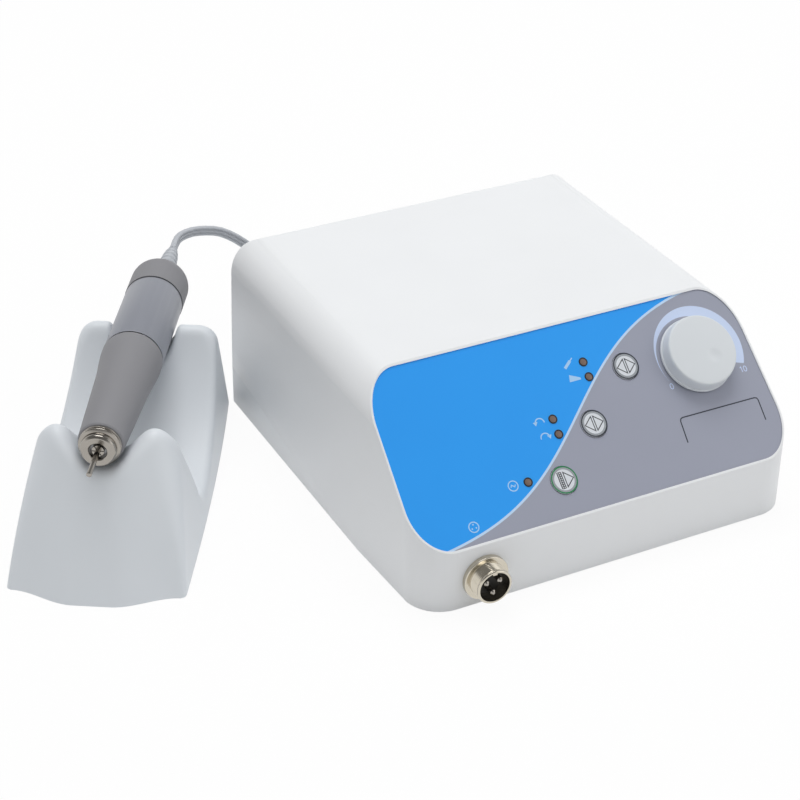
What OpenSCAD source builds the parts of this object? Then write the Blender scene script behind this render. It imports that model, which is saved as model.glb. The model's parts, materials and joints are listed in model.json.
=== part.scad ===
// Bench micromotor grinder: a control unit, a stand, a handpiece that lies in it and its motor cord.
// Millimetres. The set stands on z = 0 with its front towards -Y, +X to the right.

/* [Case of the control unit] */
// Width of the case at its foot
unit_w = 190; // [176:1:210]
// Depth of the case
unit_d = 197; // [186:1:220]
// Height of the case
unit_h = 84.5; // [80:0.5:96]
// Wall of the housing
case_wall = 2.6; // [2.2:0.1:3.2]
// Inward lean of the sides per millimetre of height
side_draft = 0.045; // [0.02:0.005:0.06]
// Radius along the left and right top edges
top_edge_r = 17; // [10:1:22]
// Radius of the upright front corners
front_corner_r = 16.5; // [8:0.5:22]
// Radius of the upright rear corners
rear_corner_r = 5; // [3:0.5:10]
// Height of the upright front face below the panel
front_face_h = 29.4; // [27:0.2:33]
// Slope of the control panel above level
panel_angle = 40.7; // [38:0.1:44]
// Height of the housing's lower edge above the table
case_gap = 0.5; // [0.3:0.1:1.5]
// Thickness of the sheet base plate
base_t = 1.5; // [1:0.1:2.5]
// Height of the rubber feet
foot_h = 2.5; // [2:0.1:4]
// Radius of the rubber feet
foot_r = 7; // [5:0.5:9]

/* [Control panel] */
// Depth of the recess that takes the membrane panel
panel_recess = 1.4; // [1.1:0.1:1.6]
// Thickness of the membrane panel
overlay_t = 1; // [0.7:0.1:1]
// Rim of housing left around the membrane panel
panel_rim = 0.8; // [0.7:0.1:2.5]
// Radius of the round keys
key_r = 6.1; // [5:0.1:7]
// Height of a key above the membrane panel
key_proud = 0.5; // [0.2:0.1:1]
// Travel of a key
key_travel = 0.5; // [0.3:0.05:0.6]
// Radius of the indicator lamps
led_r = 1.5; // [1.2:0.1:2]
// Radius of the speed knob at its foot
knob_r = 17.2; // [15:0.1:19]
// Height of the speed knob
knob_h = 8.2; // [7.6:0.2:12]
// Radius of the potentiometer shaft
pot_shaft_r = 3; // [2.5:0.1:3.2]
// Radius of the potentiometer body
pot_r = 8.5; // [7:0.5:10]

/* [Motor socket] */
// Radius over the socket's thread
socket_r = 8; // [7.5:0.1:8.5]
// Reach of the thread in front of its flange
socket_reach = 6.9; // [6:0.1:9]
// Radius of the socket's flange
socket_flange_r = 10.3; // [9.2:0.05:11]
// Thickness of the socket's flange
socket_flange_t = 2.3; // [1.5:0.1:3]
// Place of the socket left of the case's middle
socket_x = -64; // [-72:1:64]
// Height of the socket's middle
socket_z = 13.8; // [13.6:0.1:16]

/* [Rear fittings] */
// Thickness of the rear plate
rear_t = 1.5; // [1:0.1:2]
// Height of the rear fittings' middle
rear_z = 38; // [34:1:44]
// Radius of the foot pedal jack's bore
jack_r = 3.2; // [3.15:0.05:3.3]
// Radius of the fuse
fuse_r = 2.6; // [2.4:0.1:2.8]
// Length of the fuse
fuse_len = 20; // [18:1:22]

/* [Stand] */
// Length of the stand's foot
stand_len = 158; // [150:1:170]
// Half width of the stand's foot at the front
stand_half_front = 37.5; // [35:0.5:42]
// Half width of the stand's foot at the back
stand_half_back = 34; // [32:0.5:36]
// Height of the two front horns
horn_h = 62; // [60:0.5:68]
// Height of the back upright
upright_h = 57.3; // [55:0.1:64]
// Wall of the stand
stand_wall = 2.6; // [2:0.1:3.2]
// Turn of the stand away from the case
stand_yaw = 31.3; // [24:0.1:34]
// Gap between the stand's rear corner and the case
stand_gap = 0.5; // [0.4:0.1:20]

/* [Handpiece] */
// Length of the handpiece from nose to rear cap
hand_len = 154; // [150:1:165]
// Radius of the front grip at its nose end
grip_r = 9.9; // [9.7:0.1:10.6]
// Radius of the front grip behind its long taper
grip_waist_r = 12.2; // [11.8:0.1:12.6]
// Radius of the front grip at its thick end
grip_max_r = 13.7; // [13.4:0.1:14.2]
// Radius of the motor sleeve
sleeve_r = 13.6; // [13.3:0.1:14]
// Radius of the nose collar
collar_r = 9.1; // [8.8:0.1:9.2]
// Radius of the nose nut
nut_r = 7.7; // [7:0.1:8.4]
// Radius of the nose opening
nose_bore_r = 3.8; // [3.4:0.1:4.2]
// Radius of the tool shank
shank_r = 1.175; // [1.15:0.005:1.2]
// Free length of the tool shank in front of the nose
shank_free = 17; // [12:1:24]
// Stroke of the collet when the grip is turned
collet_stroke = 1.2; // [0.8:0.1:1.5]

/* [Hidden] */
$fn = 64;

// Play between parts that move past each other, that run on each other, and that only pass
free_gap = 0.3;
run_gap = 0.05;
fit_gap = 0.1;
// Overshoot of a cut beyond the face it opens, and a hair's breadth where a face must not stay
cut = 1;
hair = 0.001;

// Place of the case's middle in the set
unit_x = 72;
unit_y = -24;
unit_back = unit_y + unit_d / 2;
// Place of the stand: turned away from the case, its rear corner beside the case's back corner
stand_inset = 2.36;
stand_reach = stand_len * sin(stand_yaw) + stand_half_back * cos(stand_yaw);
stand_depth = stand_len * cos(stand_yaw) - stand_half_back * sin(stand_yaw);
stand_x = unit_x - unit_w / 2 - stand_gap - stand_reach;
stand_y = unit_back - stand_inset - stand_depth;

// Levels inside the case
base_top = foot_h + base_t;
side_slope = sqrt(1 + side_draft * side_draft);
// Levels along the panel's outward normal, from the housing's slope
overlay_top = overlay_t - panel_recess;
key_t = 0.8;
key_top = overlay_top + key_proud;
stem_reach = 1.9;
stem_end = -case_wall - stem_reach;
stem_r = 2;
plunger_h = 0.8;
tact_h = 3.5;
tact_w = 6;
tact_top = stem_end - key_travel - fit_gap;
board_face = tact_top - plunger_h - tact_h;
board_t = 1.6;
// Places on the panel: across from the middle, and up the slope from its lower edge
panel_len = (unit_h - front_face_h) / sin(panel_angle);
knob_inset = [31.6, 30.6];
mode_at = [28.7, 57.5];
direction_at = [3.7, 36.7];
motor_at = [-19.4, 16.8];
key_places = [mode_at, direction_at, motor_at];
led_pitch = 7;
led_mode_at = [10, 57.2];
led_direction_at = [-13.8, 36.4];
led_motor_at = [-35.4, 20.2];
led_places = [led_mode_at + [0, led_pitch], led_mode_at, led_direction_at + [0, led_pitch],
  led_direction_at, led_motor_at];
knob_at = [unit_w / 2 - knob_inset.x, panel_len - knob_inset.y];
key_board_size = [92, 62];
key_board_at = [-4, 41];
key_board_inset = 4;
// Places of the case pillars and feet, from the case's edges
pillar_r = 4;
pillar_inset_x = 19;
pillar_inset_y = 21;
foot_inset = 27;
screw_r = 1.2;
screw_head_r = 3;
screw_head_h = 1.5;
screw_len = 14;

// Sets a piece on the table in the frame of the case
module at_unit() translate([unit_x, unit_y, 0]) children();

// Sets a piece on the sloping panel: x across, y up the slope, z outward
module on_panel() at_unit() translate([0, -unit_d / 2, front_face_h])
  rotate([panel_angle, 0, 0]) children();

// Sets a piece with its axis along +Y, front or rear fittings
module facing_back(x, y, z) at_unit() translate([x, y, z]) rotate([-90, 0, 0]) children();

// Sets a piece in the frame of the stand: x across it, y from its front to its back
module at_stand() translate([stand_x, stand_y, 0]) rotate([0, 0, -stand_yaw]) children();

// Plain ring
module tube(h, outer, inner) difference() {
  cylinder(h = h, r = outer);
  translate([0, 0, -cut]) cylinder(h = h + 2 * cut, r = inner);
}

// Copies a piece to the four corners of a rectangle
module at_corners(half_x, half_y) for (x = [-half_x, half_x], y = [-half_y, half_y])
  translate([x, y, 0]) children();

// Outline of the case seen from the front, drawn in by t
module case_front_outline(t) {
  half = unit_w / 2 - t;
  top = unit_h - t;
  r = max(top_edge_r - t, 1);
  cz = top - r;
  cx = half - side_draft * cz - r * side_slope;
  tx = cx + r / side_slope;
  tz = cz + r * side_draft / side_slope;
  polygon([[-half, 0], [half, 0], [tx, tz], [cx, top], [-cx, top], [-tx, tz]]);
  for (side = [-1, 1]) translate([side * cx, cz]) circle(r);
}

// Outline of the case seen from the right, drawn in by t
module case_side_outline(t) {
  front = -unit_d / 2 + t;
  back = unit_d / 2 - t;
  top = unit_h - t;
  drop = t / cos(panel_angle);
  front_z = front_face_h + t * tan(panel_angle) - drop;
  slope_y = -unit_d / 2 + (top - front_face_h + drop) / tan(panel_angle);
  polygon([[front, 0], [front, front_z], [slope_y, top], [back - rear_corner_r, top],
    [back, top - rear_corner_r], [back, 0]]);
  translate([back - rear_corner_r, top - rear_corner_r]) circle(rear_corner_r);
}

// The front corners stand in by the side's draft at the height where the panel leaves them,
// and the sides run out to their full width behind them
corner_in = side_draft * (front_face_h + front_corner_r * tan(panel_angle));
corner_run = 40;
// How far the sides' outline starts inside the corner's round
corner_sink = 0.05;

// Outline of the case seen from above, drawn in by t
module case_plan(t) {
  hx = unit_w / 2 - t;
  hy = unit_d / 2 - t;
  rf = max(front_corner_r - t, 1);
  rb = max(rear_corner_r - t, 1);
  cx = hx - corner_in - rf;
  cy = -hy + rf;
  reach = [hx - cx, corner_run];
  turn = atan2(reach.y, reach.x) - acos(rf / norm(reach));
  tx = cx + (rf - corner_sink) * cos(turn);
  ty = cy + (rf - corner_sink) * sin(turn);
  polygon([[-hx, cy + corner_run], [-tx, ty], [-cx, -hy], [cx, -hy], [tx, ty], [hx, cy + corner_run],
    [hx, hy - rb], [hx - rb, hy], [-hx + rb, hy], [-hx, hy - rb]]);
  for (side = [-1, 1]) {
    translate([side * cx, cy]) circle(rf);
    translate([side * (hx - rb), hy - rb]) circle(rb);
  }
}

// The case's shape from the front and from above, drawn in by t, without its slope
module case_column(t) intersection() {
  translate([0, unit_d, 0]) rotate([90, 0, 0]) linear_extrude(2 * unit_d) case_front_outline(t);
  linear_extrude(2 * unit_h) case_plan(t);
}

// The whole outer shape of the case, drawn in by t
module case_form(t) intersection() {
  case_column(t);
  rotate([90, 0, 90]) linear_extrude(2 * unit_w, center = true) case_side_outline(t);
}

// The space of the panel's recess above a given level on the slope, drawn in by t
module panel_space(t, floor_n, h) intersection() {
  case_column(t);
  translate([-unit_w, -unit_d / 2, front_face_h]) rotate([panel_angle, 0, 0])
    translate([0, -unit_d / 2, floor_n]) cube([2 * unit_w, 2 * unit_d, h]);
}

// Opening of the housing behind which the rear plate sits
rear_open_w = 140;
rear_open_h = 40;
rear_lap = 6;
rear_face = unit_d / 2 - case_wall;

module panel_holes(key_hole_r, lamp_hole_r, bush_hole_r) {
  deep = 2 * case_wall + 2 * cut;
  for (at = key_places) translate([at.x, at.y, -deep]) cylinder(h = 2 * deep, r = key_hole_r);
  for (at = led_places) translate([at.x, at.y, -deep]) cylinder(h = 2 * deep, r = lamp_hole_r);
  translate([knob_at.x, knob_at.y, -deep]) cylinder(h = 2 * deep, r = bush_hole_r);
}

// Pillars that the base plate's screws go into
module case_pillars() intersection() {
  case_form(case_wall / 2);
  at_corners(unit_w / 2 - pillar_inset_x, unit_d / 2 - pillar_inset_y)
    translate([0, 0, base_top]) cylinder(h = unit_h, r = pillar_r);
}

// Posts under the slope that carry the key board
module key_board_posts(r, low, high) translate([key_board_at.x, key_board_at.y, low])
  at_corners(key_board_size.x / 2 - key_board_inset, key_board_size.y / 2 - key_board_inset)
    cylinder(h = high - low, r = r);

bush_wall = 0.6;
bush_r = pot_shaft_r + bush_wall;
post_r = 2.5;

module top_housing() color("whitesmoke") difference() {
  union() {
    at_unit() difference() {
      case_form(0);
      case_form(case_wall);
    }
    at_unit() case_pillars();
    on_panel() key_board_posts(post_r, board_face, -case_wall + cut / 2);
  }
  at_unit() {
    translate([-unit_w, -unit_d, -unit_h]) cube([2 * unit_w, 2 * unit_d, unit_h + case_gap]);
    panel_space(panel_rim, -panel_recess, unit_h);
    translate([-rear_open_w / 2, rear_face - cut, rear_z - rear_open_h / 2])
      cube([rear_open_w, case_wall + 2 * cut, rear_open_h]);
    at_corners(unit_w / 2 - pillar_inset_x, unit_d / 2 - pillar_inset_y)
      translate([0, 0, base_top - cut]) cylinder(h = screw_len, r = screw_r + run_gap);
  }
  on_panel() panel_holes(stem_r + free_gap, led_r + free_gap / 2, bush_r + fit_gap);
  facing_back(socket_x, -unit_d / 2 - cut, socket_z)
    cylinder(h = case_wall + 2 * cut, r = socket_r + fit_gap);
}

// Slots in the base plate let the transformer's heat out
vent_count = 9;
vent_size = [3, 44];
vent_pitch = 9;
vent_y = -unit_d / 4;

module base_plate() color("silver") at_unit() difference() {
  intersection() {
    case_form(case_wall + free_gap);
    translate([-unit_w, -unit_d, foot_h]) cube([2 * unit_w, 2 * unit_d, base_t]);
  }
  at_corners(unit_w / 2 - pillar_inset_x, unit_d / 2 - pillar_inset_y)
    cylinder(h = 2 * base_top, r = screw_r + free_gap);
  for (i = [0:vent_count - 1]) translate([(i - (vent_count - 1) / 2) * vent_pitch, vent_y, 0])
    translate([-vent_size.x / 2, -vent_size.y / 2, 0]) cube([vent_size.x, vent_size.y, 2 * base_top]);
}

module case_screws() color("silver") at_unit()
  at_corners(unit_w / 2 - pillar_inset_x, unit_d / 2 - pillar_inset_y) {
    translate([0, 0, foot_h - screw_head_h]) cylinder(h = screw_head_h, r = screw_head_r);
    translate([0, 0, foot_h - cut / 2]) cylinder(h = screw_len - cut, r = screw_r);
  }

module rubber_feet() color("dimgray") at_unit()
  at_corners(unit_w / 2 - foot_inset - foot_r, unit_d / 2 - foot_inset) difference() {
    cylinder(h = foot_h, r = foot_r);
    translate([0, 0, -cut]) cylinder(h = foot_h / 2 + cut, r = foot_r / 3);
  }

module panel_overlay() color("dodgerblue") difference() {
  at_unit() panel_space(panel_rim + fit_gap, -panel_recess, overlay_t);
  on_panel() panel_holes(key_r + free_gap, led_r + free_gap / 2, bush_r + fit_gap);
}

// A key: a round cap in the panel's face with a stem through the housing
module panel_key(at) on_panel() translate([at.x, at.y, 0]) {
  translate([0, 0, key_top - key_t]) cylinder(h = key_t, r = key_r);
  translate([0, 0, stem_end]) cylinder(h = key_top - stem_end - key_t / 2, r = stem_r);
}

module mode_key() color("gainsboro") panel_key(mode_at);
module direction_key() color("gainsboro") panel_key(direction_at);
module motor_key() color("gainsboro") panel_key(motor_at);

module key_board() color("darkgreen") on_panel()
  translate([key_board_at.x, key_board_at.y, board_face - board_t / 2])
    cube([key_board_size.x, key_board_size.y, board_t], center = true);

module tact_switches() color("black") on_panel() for (at = key_places)
  translate([at.x, at.y, board_face]) {
    translate([-tact_w / 2, -tact_w / 2, 0]) cube([tact_w, tact_w, tact_h]);
    translate([0, 0, tact_h - cut]) cylinder(h = plunger_h + cut, r = tact_w / 4);
  }

module indicator_leds() color("sienna") on_panel() for (at = led_places)
  translate([at.x, at.y, board_face]) {
    stalk = overlay_top - led_r / 2 - board_face - led_r;
    cylinder(h = stalk, r = led_r);
    translate([0, 0, stalk]) sphere(r = led_r);
  }

// Potentiometer: body against the housing's inside, bush through it, nut on the panel's face
pot_depth = 9;
bush_top = 3.6;
pot_nut_t = 2;
pot_nut_r = 5.6;
shaft_inset = 2;
shaft_top = knob_h - shaft_inset;
press_gap = 0.02;

module pot_body() color("silver") on_panel() translate([knob_at.x, knob_at.y, 0]) difference() {
  union() {
    translate([0, 0, -case_wall - pot_depth]) cylinder(h = pot_depth, r = pot_r);
    translate([0, 0, -case_wall - cut]) cylinder(h = bush_top + case_wall + cut, r = bush_r);
  }
  translate([0, 0, -case_wall - pot_depth + cut])
    cylinder(h = 2 * pot_depth + case_wall, r = pot_shaft_r + run_gap);
}

module pot_nut() color("silver") on_panel() translate([knob_at.x, knob_at.y, overlay_top]) difference() {
  cylinder(h = pot_nut_t, r = pot_nut_r, $fn = 6);
  translate([0, 0, -cut]) cylinder(h = pot_nut_t + 2 * cut, r = bush_r + run_gap);
}

module pot_shaft() color("silver") on_panel() {
  foot = -case_wall - pot_depth + cut + fit_gap;
  translate([knob_at.x, knob_at.y, foot]) cylinder(h = shaft_top - foot, r = pot_shaft_r);
}

// Speed knob: a low cap with a foot rim, a crowned face and a finger dimple
knob_rim_t = 1.1;
knob_taper = 0.7;
knob_crown = 160;
knob_hub_r = 6;
knob_skin = 2;
dimple_r = 12;
dimple_depth = 0.7;
dimple_at = 5.8;
dimple_turn = -44;
knob_lift = 0.7;
knob_foot = overlay_top + knob_lift;
knob_rim_step = 0.4;
knob_edge = 1.6;

// The knob's outline, its top edge rounded off
module knob_blank() rotate_extrude() intersection() {
  wall_r = knob_r - knob_taper;
  wall_top = knob_h - knob_edge;
  union() {
    polygon([[0, knob_foot], [knob_r, knob_foot], [knob_r, knob_foot + knob_rim_t],
      [knob_r - knob_rim_step, knob_foot + knob_rim_t], [wall_r, wall_top], [wall_r - knob_edge, wall_top],
      [wall_r - knob_edge, knob_h], [0, knob_h]]);
    translate([wall_r - knob_edge, wall_top]) circle(knob_edge);
  }
  translate([0, knob_h - knob_crown]) circle(r = knob_crown, $fn = 360);
  square([2 * knob_r, knob_h]);
}

module speed_knob() color("gainsboro") on_panel() translate([knob_at.x, knob_at.y, 0]) difference() {
  knob_blank();
  difference() {
    translate([0, 0, -cut])
      cylinder(h = knob_h - 2 * knob_skin + cut, r = knob_r - knob_taper - knob_skin);
    translate([0, 0, bush_top + free_gap]) cylinder(h = knob_h, r = knob_hub_r);
  }
  translate([0, 0, -cut]) cylinder(h = shaft_top + cut + fit_gap, r = pot_shaft_r + press_gap);
  crown_drop = knob_crown - sqrt(knob_crown * knob_crown - dimple_at * dimple_at);
  rotate([0, 0, dimple_turn]) translate([dimple_at, 0, knob_h - crown_drop + dimple_r - dimple_depth])
    sphere(r = dimple_r);
}

// Three pole motor socket in the front face
socket_wall = 1.1;
socket_inner_r = socket_r - socket_wall;
socket_tail = 12;
socket_pin_r = 1.25;
socket_pin_ring = 3.6;
socket_cup = 6.5;
socket_front = -unit_d / 2 - socket_flange_t - socket_reach;
socket_nut_t = 3;
socket_nut_r = socket_r + 1.65;
socket_len = socket_reach + socket_flange_t + socket_tail;
socket_pin_inset = 1;
insert_inset = 2;
key_rib = [2.2, 1];

module motor_socket() color("tan") facing_back(socket_x, socket_front, socket_z) {
  difference() {
    union() {
      cylinder(h = socket_len, r = socket_r);
      translate([0, 0, socket_reach]) cylinder(h = socket_flange_t, r = socket_flange_r);
    }
    translate([0, 0, -cut]) cylinder(h = socket_len + 2 * cut, r = socket_inner_r);
  }
  translate([-key_rib.x / 2, -socket_inner_r - cut / 2, 0])
    cube([key_rib.x, key_rib.y + cut / 2, socket_cup]);
}

module socket_pin_places() for (turn = [90, 210, 330])
  rotate([0, 0, turn]) translate([socket_pin_ring, 0, 0]) children();

module socket_insert() color("black") facing_back(socket_x, socket_front + socket_cup, socket_z)
  difference() {
    cylinder(h = socket_len - socket_cup - insert_inset, r = socket_inner_r - run_gap);
    socket_pin_places() translate([0, 0, -cut]) cylinder(h = 4 * socket_tail, r = socket_pin_r + run_gap);
  }

module socket_pins() color("gold") facing_back(socket_x, socket_front + socket_pin_inset, socket_z)
  socket_pin_places() {
    tip = socket_pin_r / 2;
    translate([0, 0, tip]) cylinder(h = socket_len + tip, r = socket_pin_r);
    cylinder(h = tip, r1 = socket_pin_r - tip, r2 = socket_pin_r);
  }

module socket_nut() color("silver") facing_back(socket_x, -unit_d / 2 + case_wall, socket_z) difference() {
  cylinder(h = socket_nut_t, r = socket_nut_r, $fn = 6);
  translate([0, 0, -cut]) cylinder(h = socket_nut_t + 2 * cut, r = socket_r + run_gap);
}

// Speed board on standoffs over the base plate
board_at = [42, 7];
board_size = [78, 104];
board_post = 8;
board_post_r = 3;
board_post_inset = 5;
board_top = base_top + board_post + board_t;

module board_posts() at_unit() translate([board_at.x, board_at.y, base_top])
  at_corners(board_size.x / 2 - board_post_inset, board_size.y / 2 - board_post_inset) children();

module board_standoffs() color("gold") board_posts() cylinder(h = board_post, r = board_post_r);

module control_board() color("darkgreen") at_unit()
  translate([board_at.x - board_size.x / 2, board_at.y - board_size.y / 2, base_top + board_post])
    cube([board_size.x, board_size.y, board_t]);

fin_count = 8;
fin_size = [12, 1.6, 30];
fin_pitch = 7;
sink_back = 3;
sink_offset = [12, -14];
sink_at = board_at + sink_offset;

module heat_sink() color("silver") at_unit() translate([sink_at.x, sink_at.y, board_top]) {
  run = (fin_count - 1) * fin_pitch + fin_size.y;
  translate([0, -run / 2, 0]) cube([sink_back, run, fin_size.z]);
  for (i = [0:fin_count - 1]) translate([sink_back - cut / 2, i * fin_pitch - run / 2, 0])
    cube([fin_size.x, fin_size.y, fin_size.z]);
}

capacitor_r = 8;
capacitor_h = 26;
capacitor_places = [[-24, 30], [-24, 10], [2, 36]];

module filter_capacitors() color("midnightblue") at_unit() translate([board_at.x, board_at.y, board_top])
  for (at = capacitor_places) translate([at.x, at.y, 0]) cylinder(h = capacitor_h, r = capacitor_r);

// Mains transformer on the base plate, its winding round the middle leg
core_at = [-46, 22];
core_size = [60, 34, 52];
core_leg = 10;
coil_out = 8;

module transformer_core() color("dimgray") at_unit()
  translate([core_at.x, core_at.y, base_top + core_size.z / 2]) difference() {
    cube(core_size, center = true);
    for (side = [-1, 1]) translate([side * 1.5 * core_leg, 0, 0])
      cube([core_leg, core_size.y + 2 * cut, core_size.z - 2 * core_leg], center = true);
  }

module transformer_coil() color("peru") at_unit() {
  wound_w = 4 * core_leg - 2 * free_gap;
  wound_h = core_size.z - 2 * core_leg - 2 * free_gap;
  translate([core_at.x, core_at.y, base_top + core_size.z / 2]) difference() {
    cube([wound_w, core_size.y + 2 * coil_out, wound_h], center = true);
    cube([2 * core_leg + 2 * free_gap, core_size.y + 2 * free_gap, core_size.z], center = true);
  }
}

// Rear plate with the mains inlet, switch, fuse and foot pedal jack
inlet_x = -44;
switch_x = -6;
fuse_x = 24;
jack_x = 52;
inlet_body = [27, 20];
inlet_flange = [33, 26, 2];
inlet_depth = 18;
inlet_cup = [22.6, 15.6, 15.5];
blade = [2, 4];
blade_free = 10;
blade_back = 14;
blade_places = [[-7, -2], [0, 2], [7, -2]];
switch_body = [17, 24];
switch_flange = [20, 28, 2];
switch_depth = 14;
switch_floor = 2;
rocker_size = [12, 16.8];
rocker_open = [12.6, 20.4];
rocker_tilt = 10;
rocker_face = 6;
rocker_dip = 1.4;
rocker_back = 4;
rocker_back_half = 3;
rocker_pin_r = 1.2;
rocker_pin_len = switch_body.x - 2;
rocker_pivot = rear_face - 3;
fuse_barrel_r = fuse_r + 3.4;
fuse_flange = [fuse_barrel_r + 1.6, 1.5];
fuse_plug_r = fuse_r + 1.9;
fuse_plug_len = 5.5;
fuse_cap_h = 5;
fuse_cap_lap = 0.5;
fuse_room = 1;
fuse_end = 3;
coin_slot = [1.2, 1];
jack_bush_r = jack_r + 1.5;
jack_flange = [jack_bush_r + 2.3, 2];
jack_nose = 2;
jack_body = [18, 16, 20];
jack_floor = 2;

module rear_panel() color("gray") at_unit() difference() {
  translate([-rear_open_w / 2 - rear_lap, rear_face - rear_t, rear_z - rear_open_h / 2 - rear_lap])
    cube([rear_open_w + 2 * rear_lap, rear_t, rear_open_h + 2 * rear_lap]);
  translate([inlet_x, rear_face, rear_z])
    cube([inlet_body.x + 2 * fit_gap, 4 * rear_t, inlet_body.y + 2 * fit_gap], center = true);
  translate([switch_x, rear_face, rear_z])
    cube([switch_body.x + 2 * fit_gap, 4 * rear_t, switch_body.y + 2 * fit_gap], center = true);
  for (hole = [[fuse_x, fuse_barrel_r], [jack_x, jack_bush_r]])
    translate([hole.x, rear_face - 2 * rear_t, rear_z]) rotate([-90, 0, 0])
      cylinder(h = 4 * rear_t, r = hole.y + fit_gap);
}

// Cup of the mains inlet with its two cut corners, seen from behind
module inlet_cup_outline() {
  w = inlet_cup.x / 2;
  h = inlet_cup.y / 2;
  corner = 4;
  polygon([[-w, -h], [w, -h], [w, h - corner], [w - corner, h], [-w + corner, h], [-w, h - corner]]);
}

module mains_inlet() color("black") at_unit() translate([inlet_x, rear_face, rear_z]) difference() {
  union() {
    translate([-inlet_flange.x / 2, 0, -inlet_flange.y / 2])
      cube([inlet_flange.x, inlet_flange.z, inlet_flange.y]);
    translate([-inlet_body.x / 2, -inlet_depth, -inlet_body.y / 2])
      cube([inlet_body.x, inlet_depth + cut, inlet_body.y]);
  }
  translate([0, inlet_flange.z + cut, 0]) rotate([90, 0, 0])
    linear_extrude(inlet_cup.z + cut) inlet_cup_outline();
  for (at = blade_places) translate([at.x, 0, at.y])
    cube([blade.x + 2 * fit_gap, 4 * inlet_depth, blade.y + 2 * fit_gap], center = true);
}

module inlet_pins() color("gold") at_unit()
  translate([inlet_x, rear_face + inlet_flange.z - inlet_cup.z, rear_z])
    for (at = blade_places) translate([at.x - blade.x / 2, -blade_back, at.y - blade.y / 2])
      cube([blade.x, blade_back + blade_free, blade.y]);

module switch_frame() color("black") at_unit() translate([switch_x, rear_face, rear_z]) difference() {
  union() {
    translate([-switch_flange.x / 2, 0, -switch_flange.y / 2])
      cube([switch_flange.x, switch_flange.z, switch_flange.y]);
    translate([-switch_body.x / 2, -switch_depth, -switch_body.y / 2])
      cube([switch_body.x, switch_depth + cut, switch_body.y]);
  }
  translate([-rocker_open.x / 2, -switch_depth + switch_floor, -rocker_open.y / 2])
    cube([rocker_open.x, switch_depth + 2 * cut, rocker_open.y]);
  translate([0, rocker_pivot - rear_face, 0]) rotate([0, 90, 0])
    cylinder(h = rocker_pin_len, r = rocker_pin_r + run_gap, center = true);
}

// Rocker seen from the side: a dished face, and a back that clears the frame when it tips
module rocker_outline() {
  half = rocker_size.y / 2;
  polygon([[rocker_face, half], [rocker_face - rocker_dip, 0], [rocker_face, -half],
    [-rocker_back / 2, -half + cut], [-rocker_back, -rocker_back_half], [-rocker_back, rocker_back_half],
    [-rocker_back / 2, half - cut]]);
}

module power_rocker() color("black") at_unit()
  translate([switch_x, rocker_pivot, rear_z]) rotate([-rocker_tilt, 0, 0]) {
    rotate([90, 0, 90]) linear_extrude(rocker_size.x, center = true) rocker_outline();
    rotate([0, 90, 0]) cylinder(h = rocker_pin_len - 2 * free_gap, r = rocker_pin_r, center = true);
  }

module fuse_holder() color("black") facing_back(fuse_x, rear_face, rear_z) difference() {
  depth = fuse_len + fuse_plug_len;
  union() {
    translate([0, 0, -depth - fuse_end]) cylinder(h = depth + fuse_end + cut, r = fuse_barrel_r);
    cylinder(h = fuse_flange.y, r = fuse_flange.x);
  }
  translate([0, 0, -depth - fuse_room]) cylinder(h = 3 * fuse_len, r = fuse_r + free_gap);
  translate([0, 0, fuse_flange.y - fuse_plug_len - fit_gap])
    cylinder(h = 2 * fuse_plug_len, r = fuse_plug_r + fit_gap);
}

module fuse_cap() color("black") facing_back(fuse_x, rear_face + fuse_flange.y, rear_z) difference() {
  union() {
    translate([0, 0, fit_gap]) cylinder(h = fuse_cap_h, r = fuse_barrel_r + fuse_cap_lap);
    translate([0, 0, -fuse_plug_len]) cylinder(h = fuse_plug_len + cut, r = fuse_plug_r);
  }
  translate([-fuse_barrel_r, -coin_slot.x / 2, fuse_cap_h - coin_slot.y])
    cube([2 * fuse_barrel_r, coin_slot.x, 2 * cut]);
}

module fuse_link() color("silver")
  facing_back(fuse_x, rear_face + fuse_flange.y - fuse_plug_len - fuse_len, rear_z)
    cylinder(h = fuse_len, r = fuse_r);

module foot_jack() color("dimgray") facing_back(jack_x, rear_face, rear_z) difference() {
  union() {
    translate([-jack_body.x / 2, -jack_body.y / 2, -rear_t - jack_body.z]) cube(jack_body);
    translate([0, 0, -rear_t - cut])
      cylinder(h = rear_t + cut + jack_flange.y + jack_nose, r = jack_bush_r);
    cylinder(h = jack_flange.y, r = jack_flange.x);
  }
  translate([0, 0, -rear_t - jack_body.z + jack_floor]) cylinder(h = 2 * jack_body.z, r = jack_r);
}

// Stand: a raked front with two horns, a hollow seat and an upright with a round notch
front_bulge = 8;
front_rake = 0.68;
horn_y = 37;
horn_foot_y = 65;
horn_lean = 0.16;
horn_bulge = 1.6;
bulge_level = 0.4;
horn_r = 5;
horn_x = 22.5;
seat_r = 107.4;
seat_low = 5.9;
seat_mid_y = 36;
upright_y = 128.5;
upright_edge_r = 4;
upright_corner_r = 10;
upright_lean_z = 26;
seat_start = 59;
// Handpiece's place in the stand
nose_y = 23.8;
rest_gap = 0.4;
axis_z = 55.3;
saddle_room = 3.6;
saddle_swell = 0.8;
saddle_r = grip_r + saddle_room;
saddle_low = axis_z - grip_r - saddle_swell - rest_gap;
saddle_turn = 44;
saddle_inset = 4;
saddle_lip = 2;
notch_room = 2.4;
notch_low = axis_z - sleeve_r - rest_gap;
notch_r = sleeve_r + notch_room;

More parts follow.
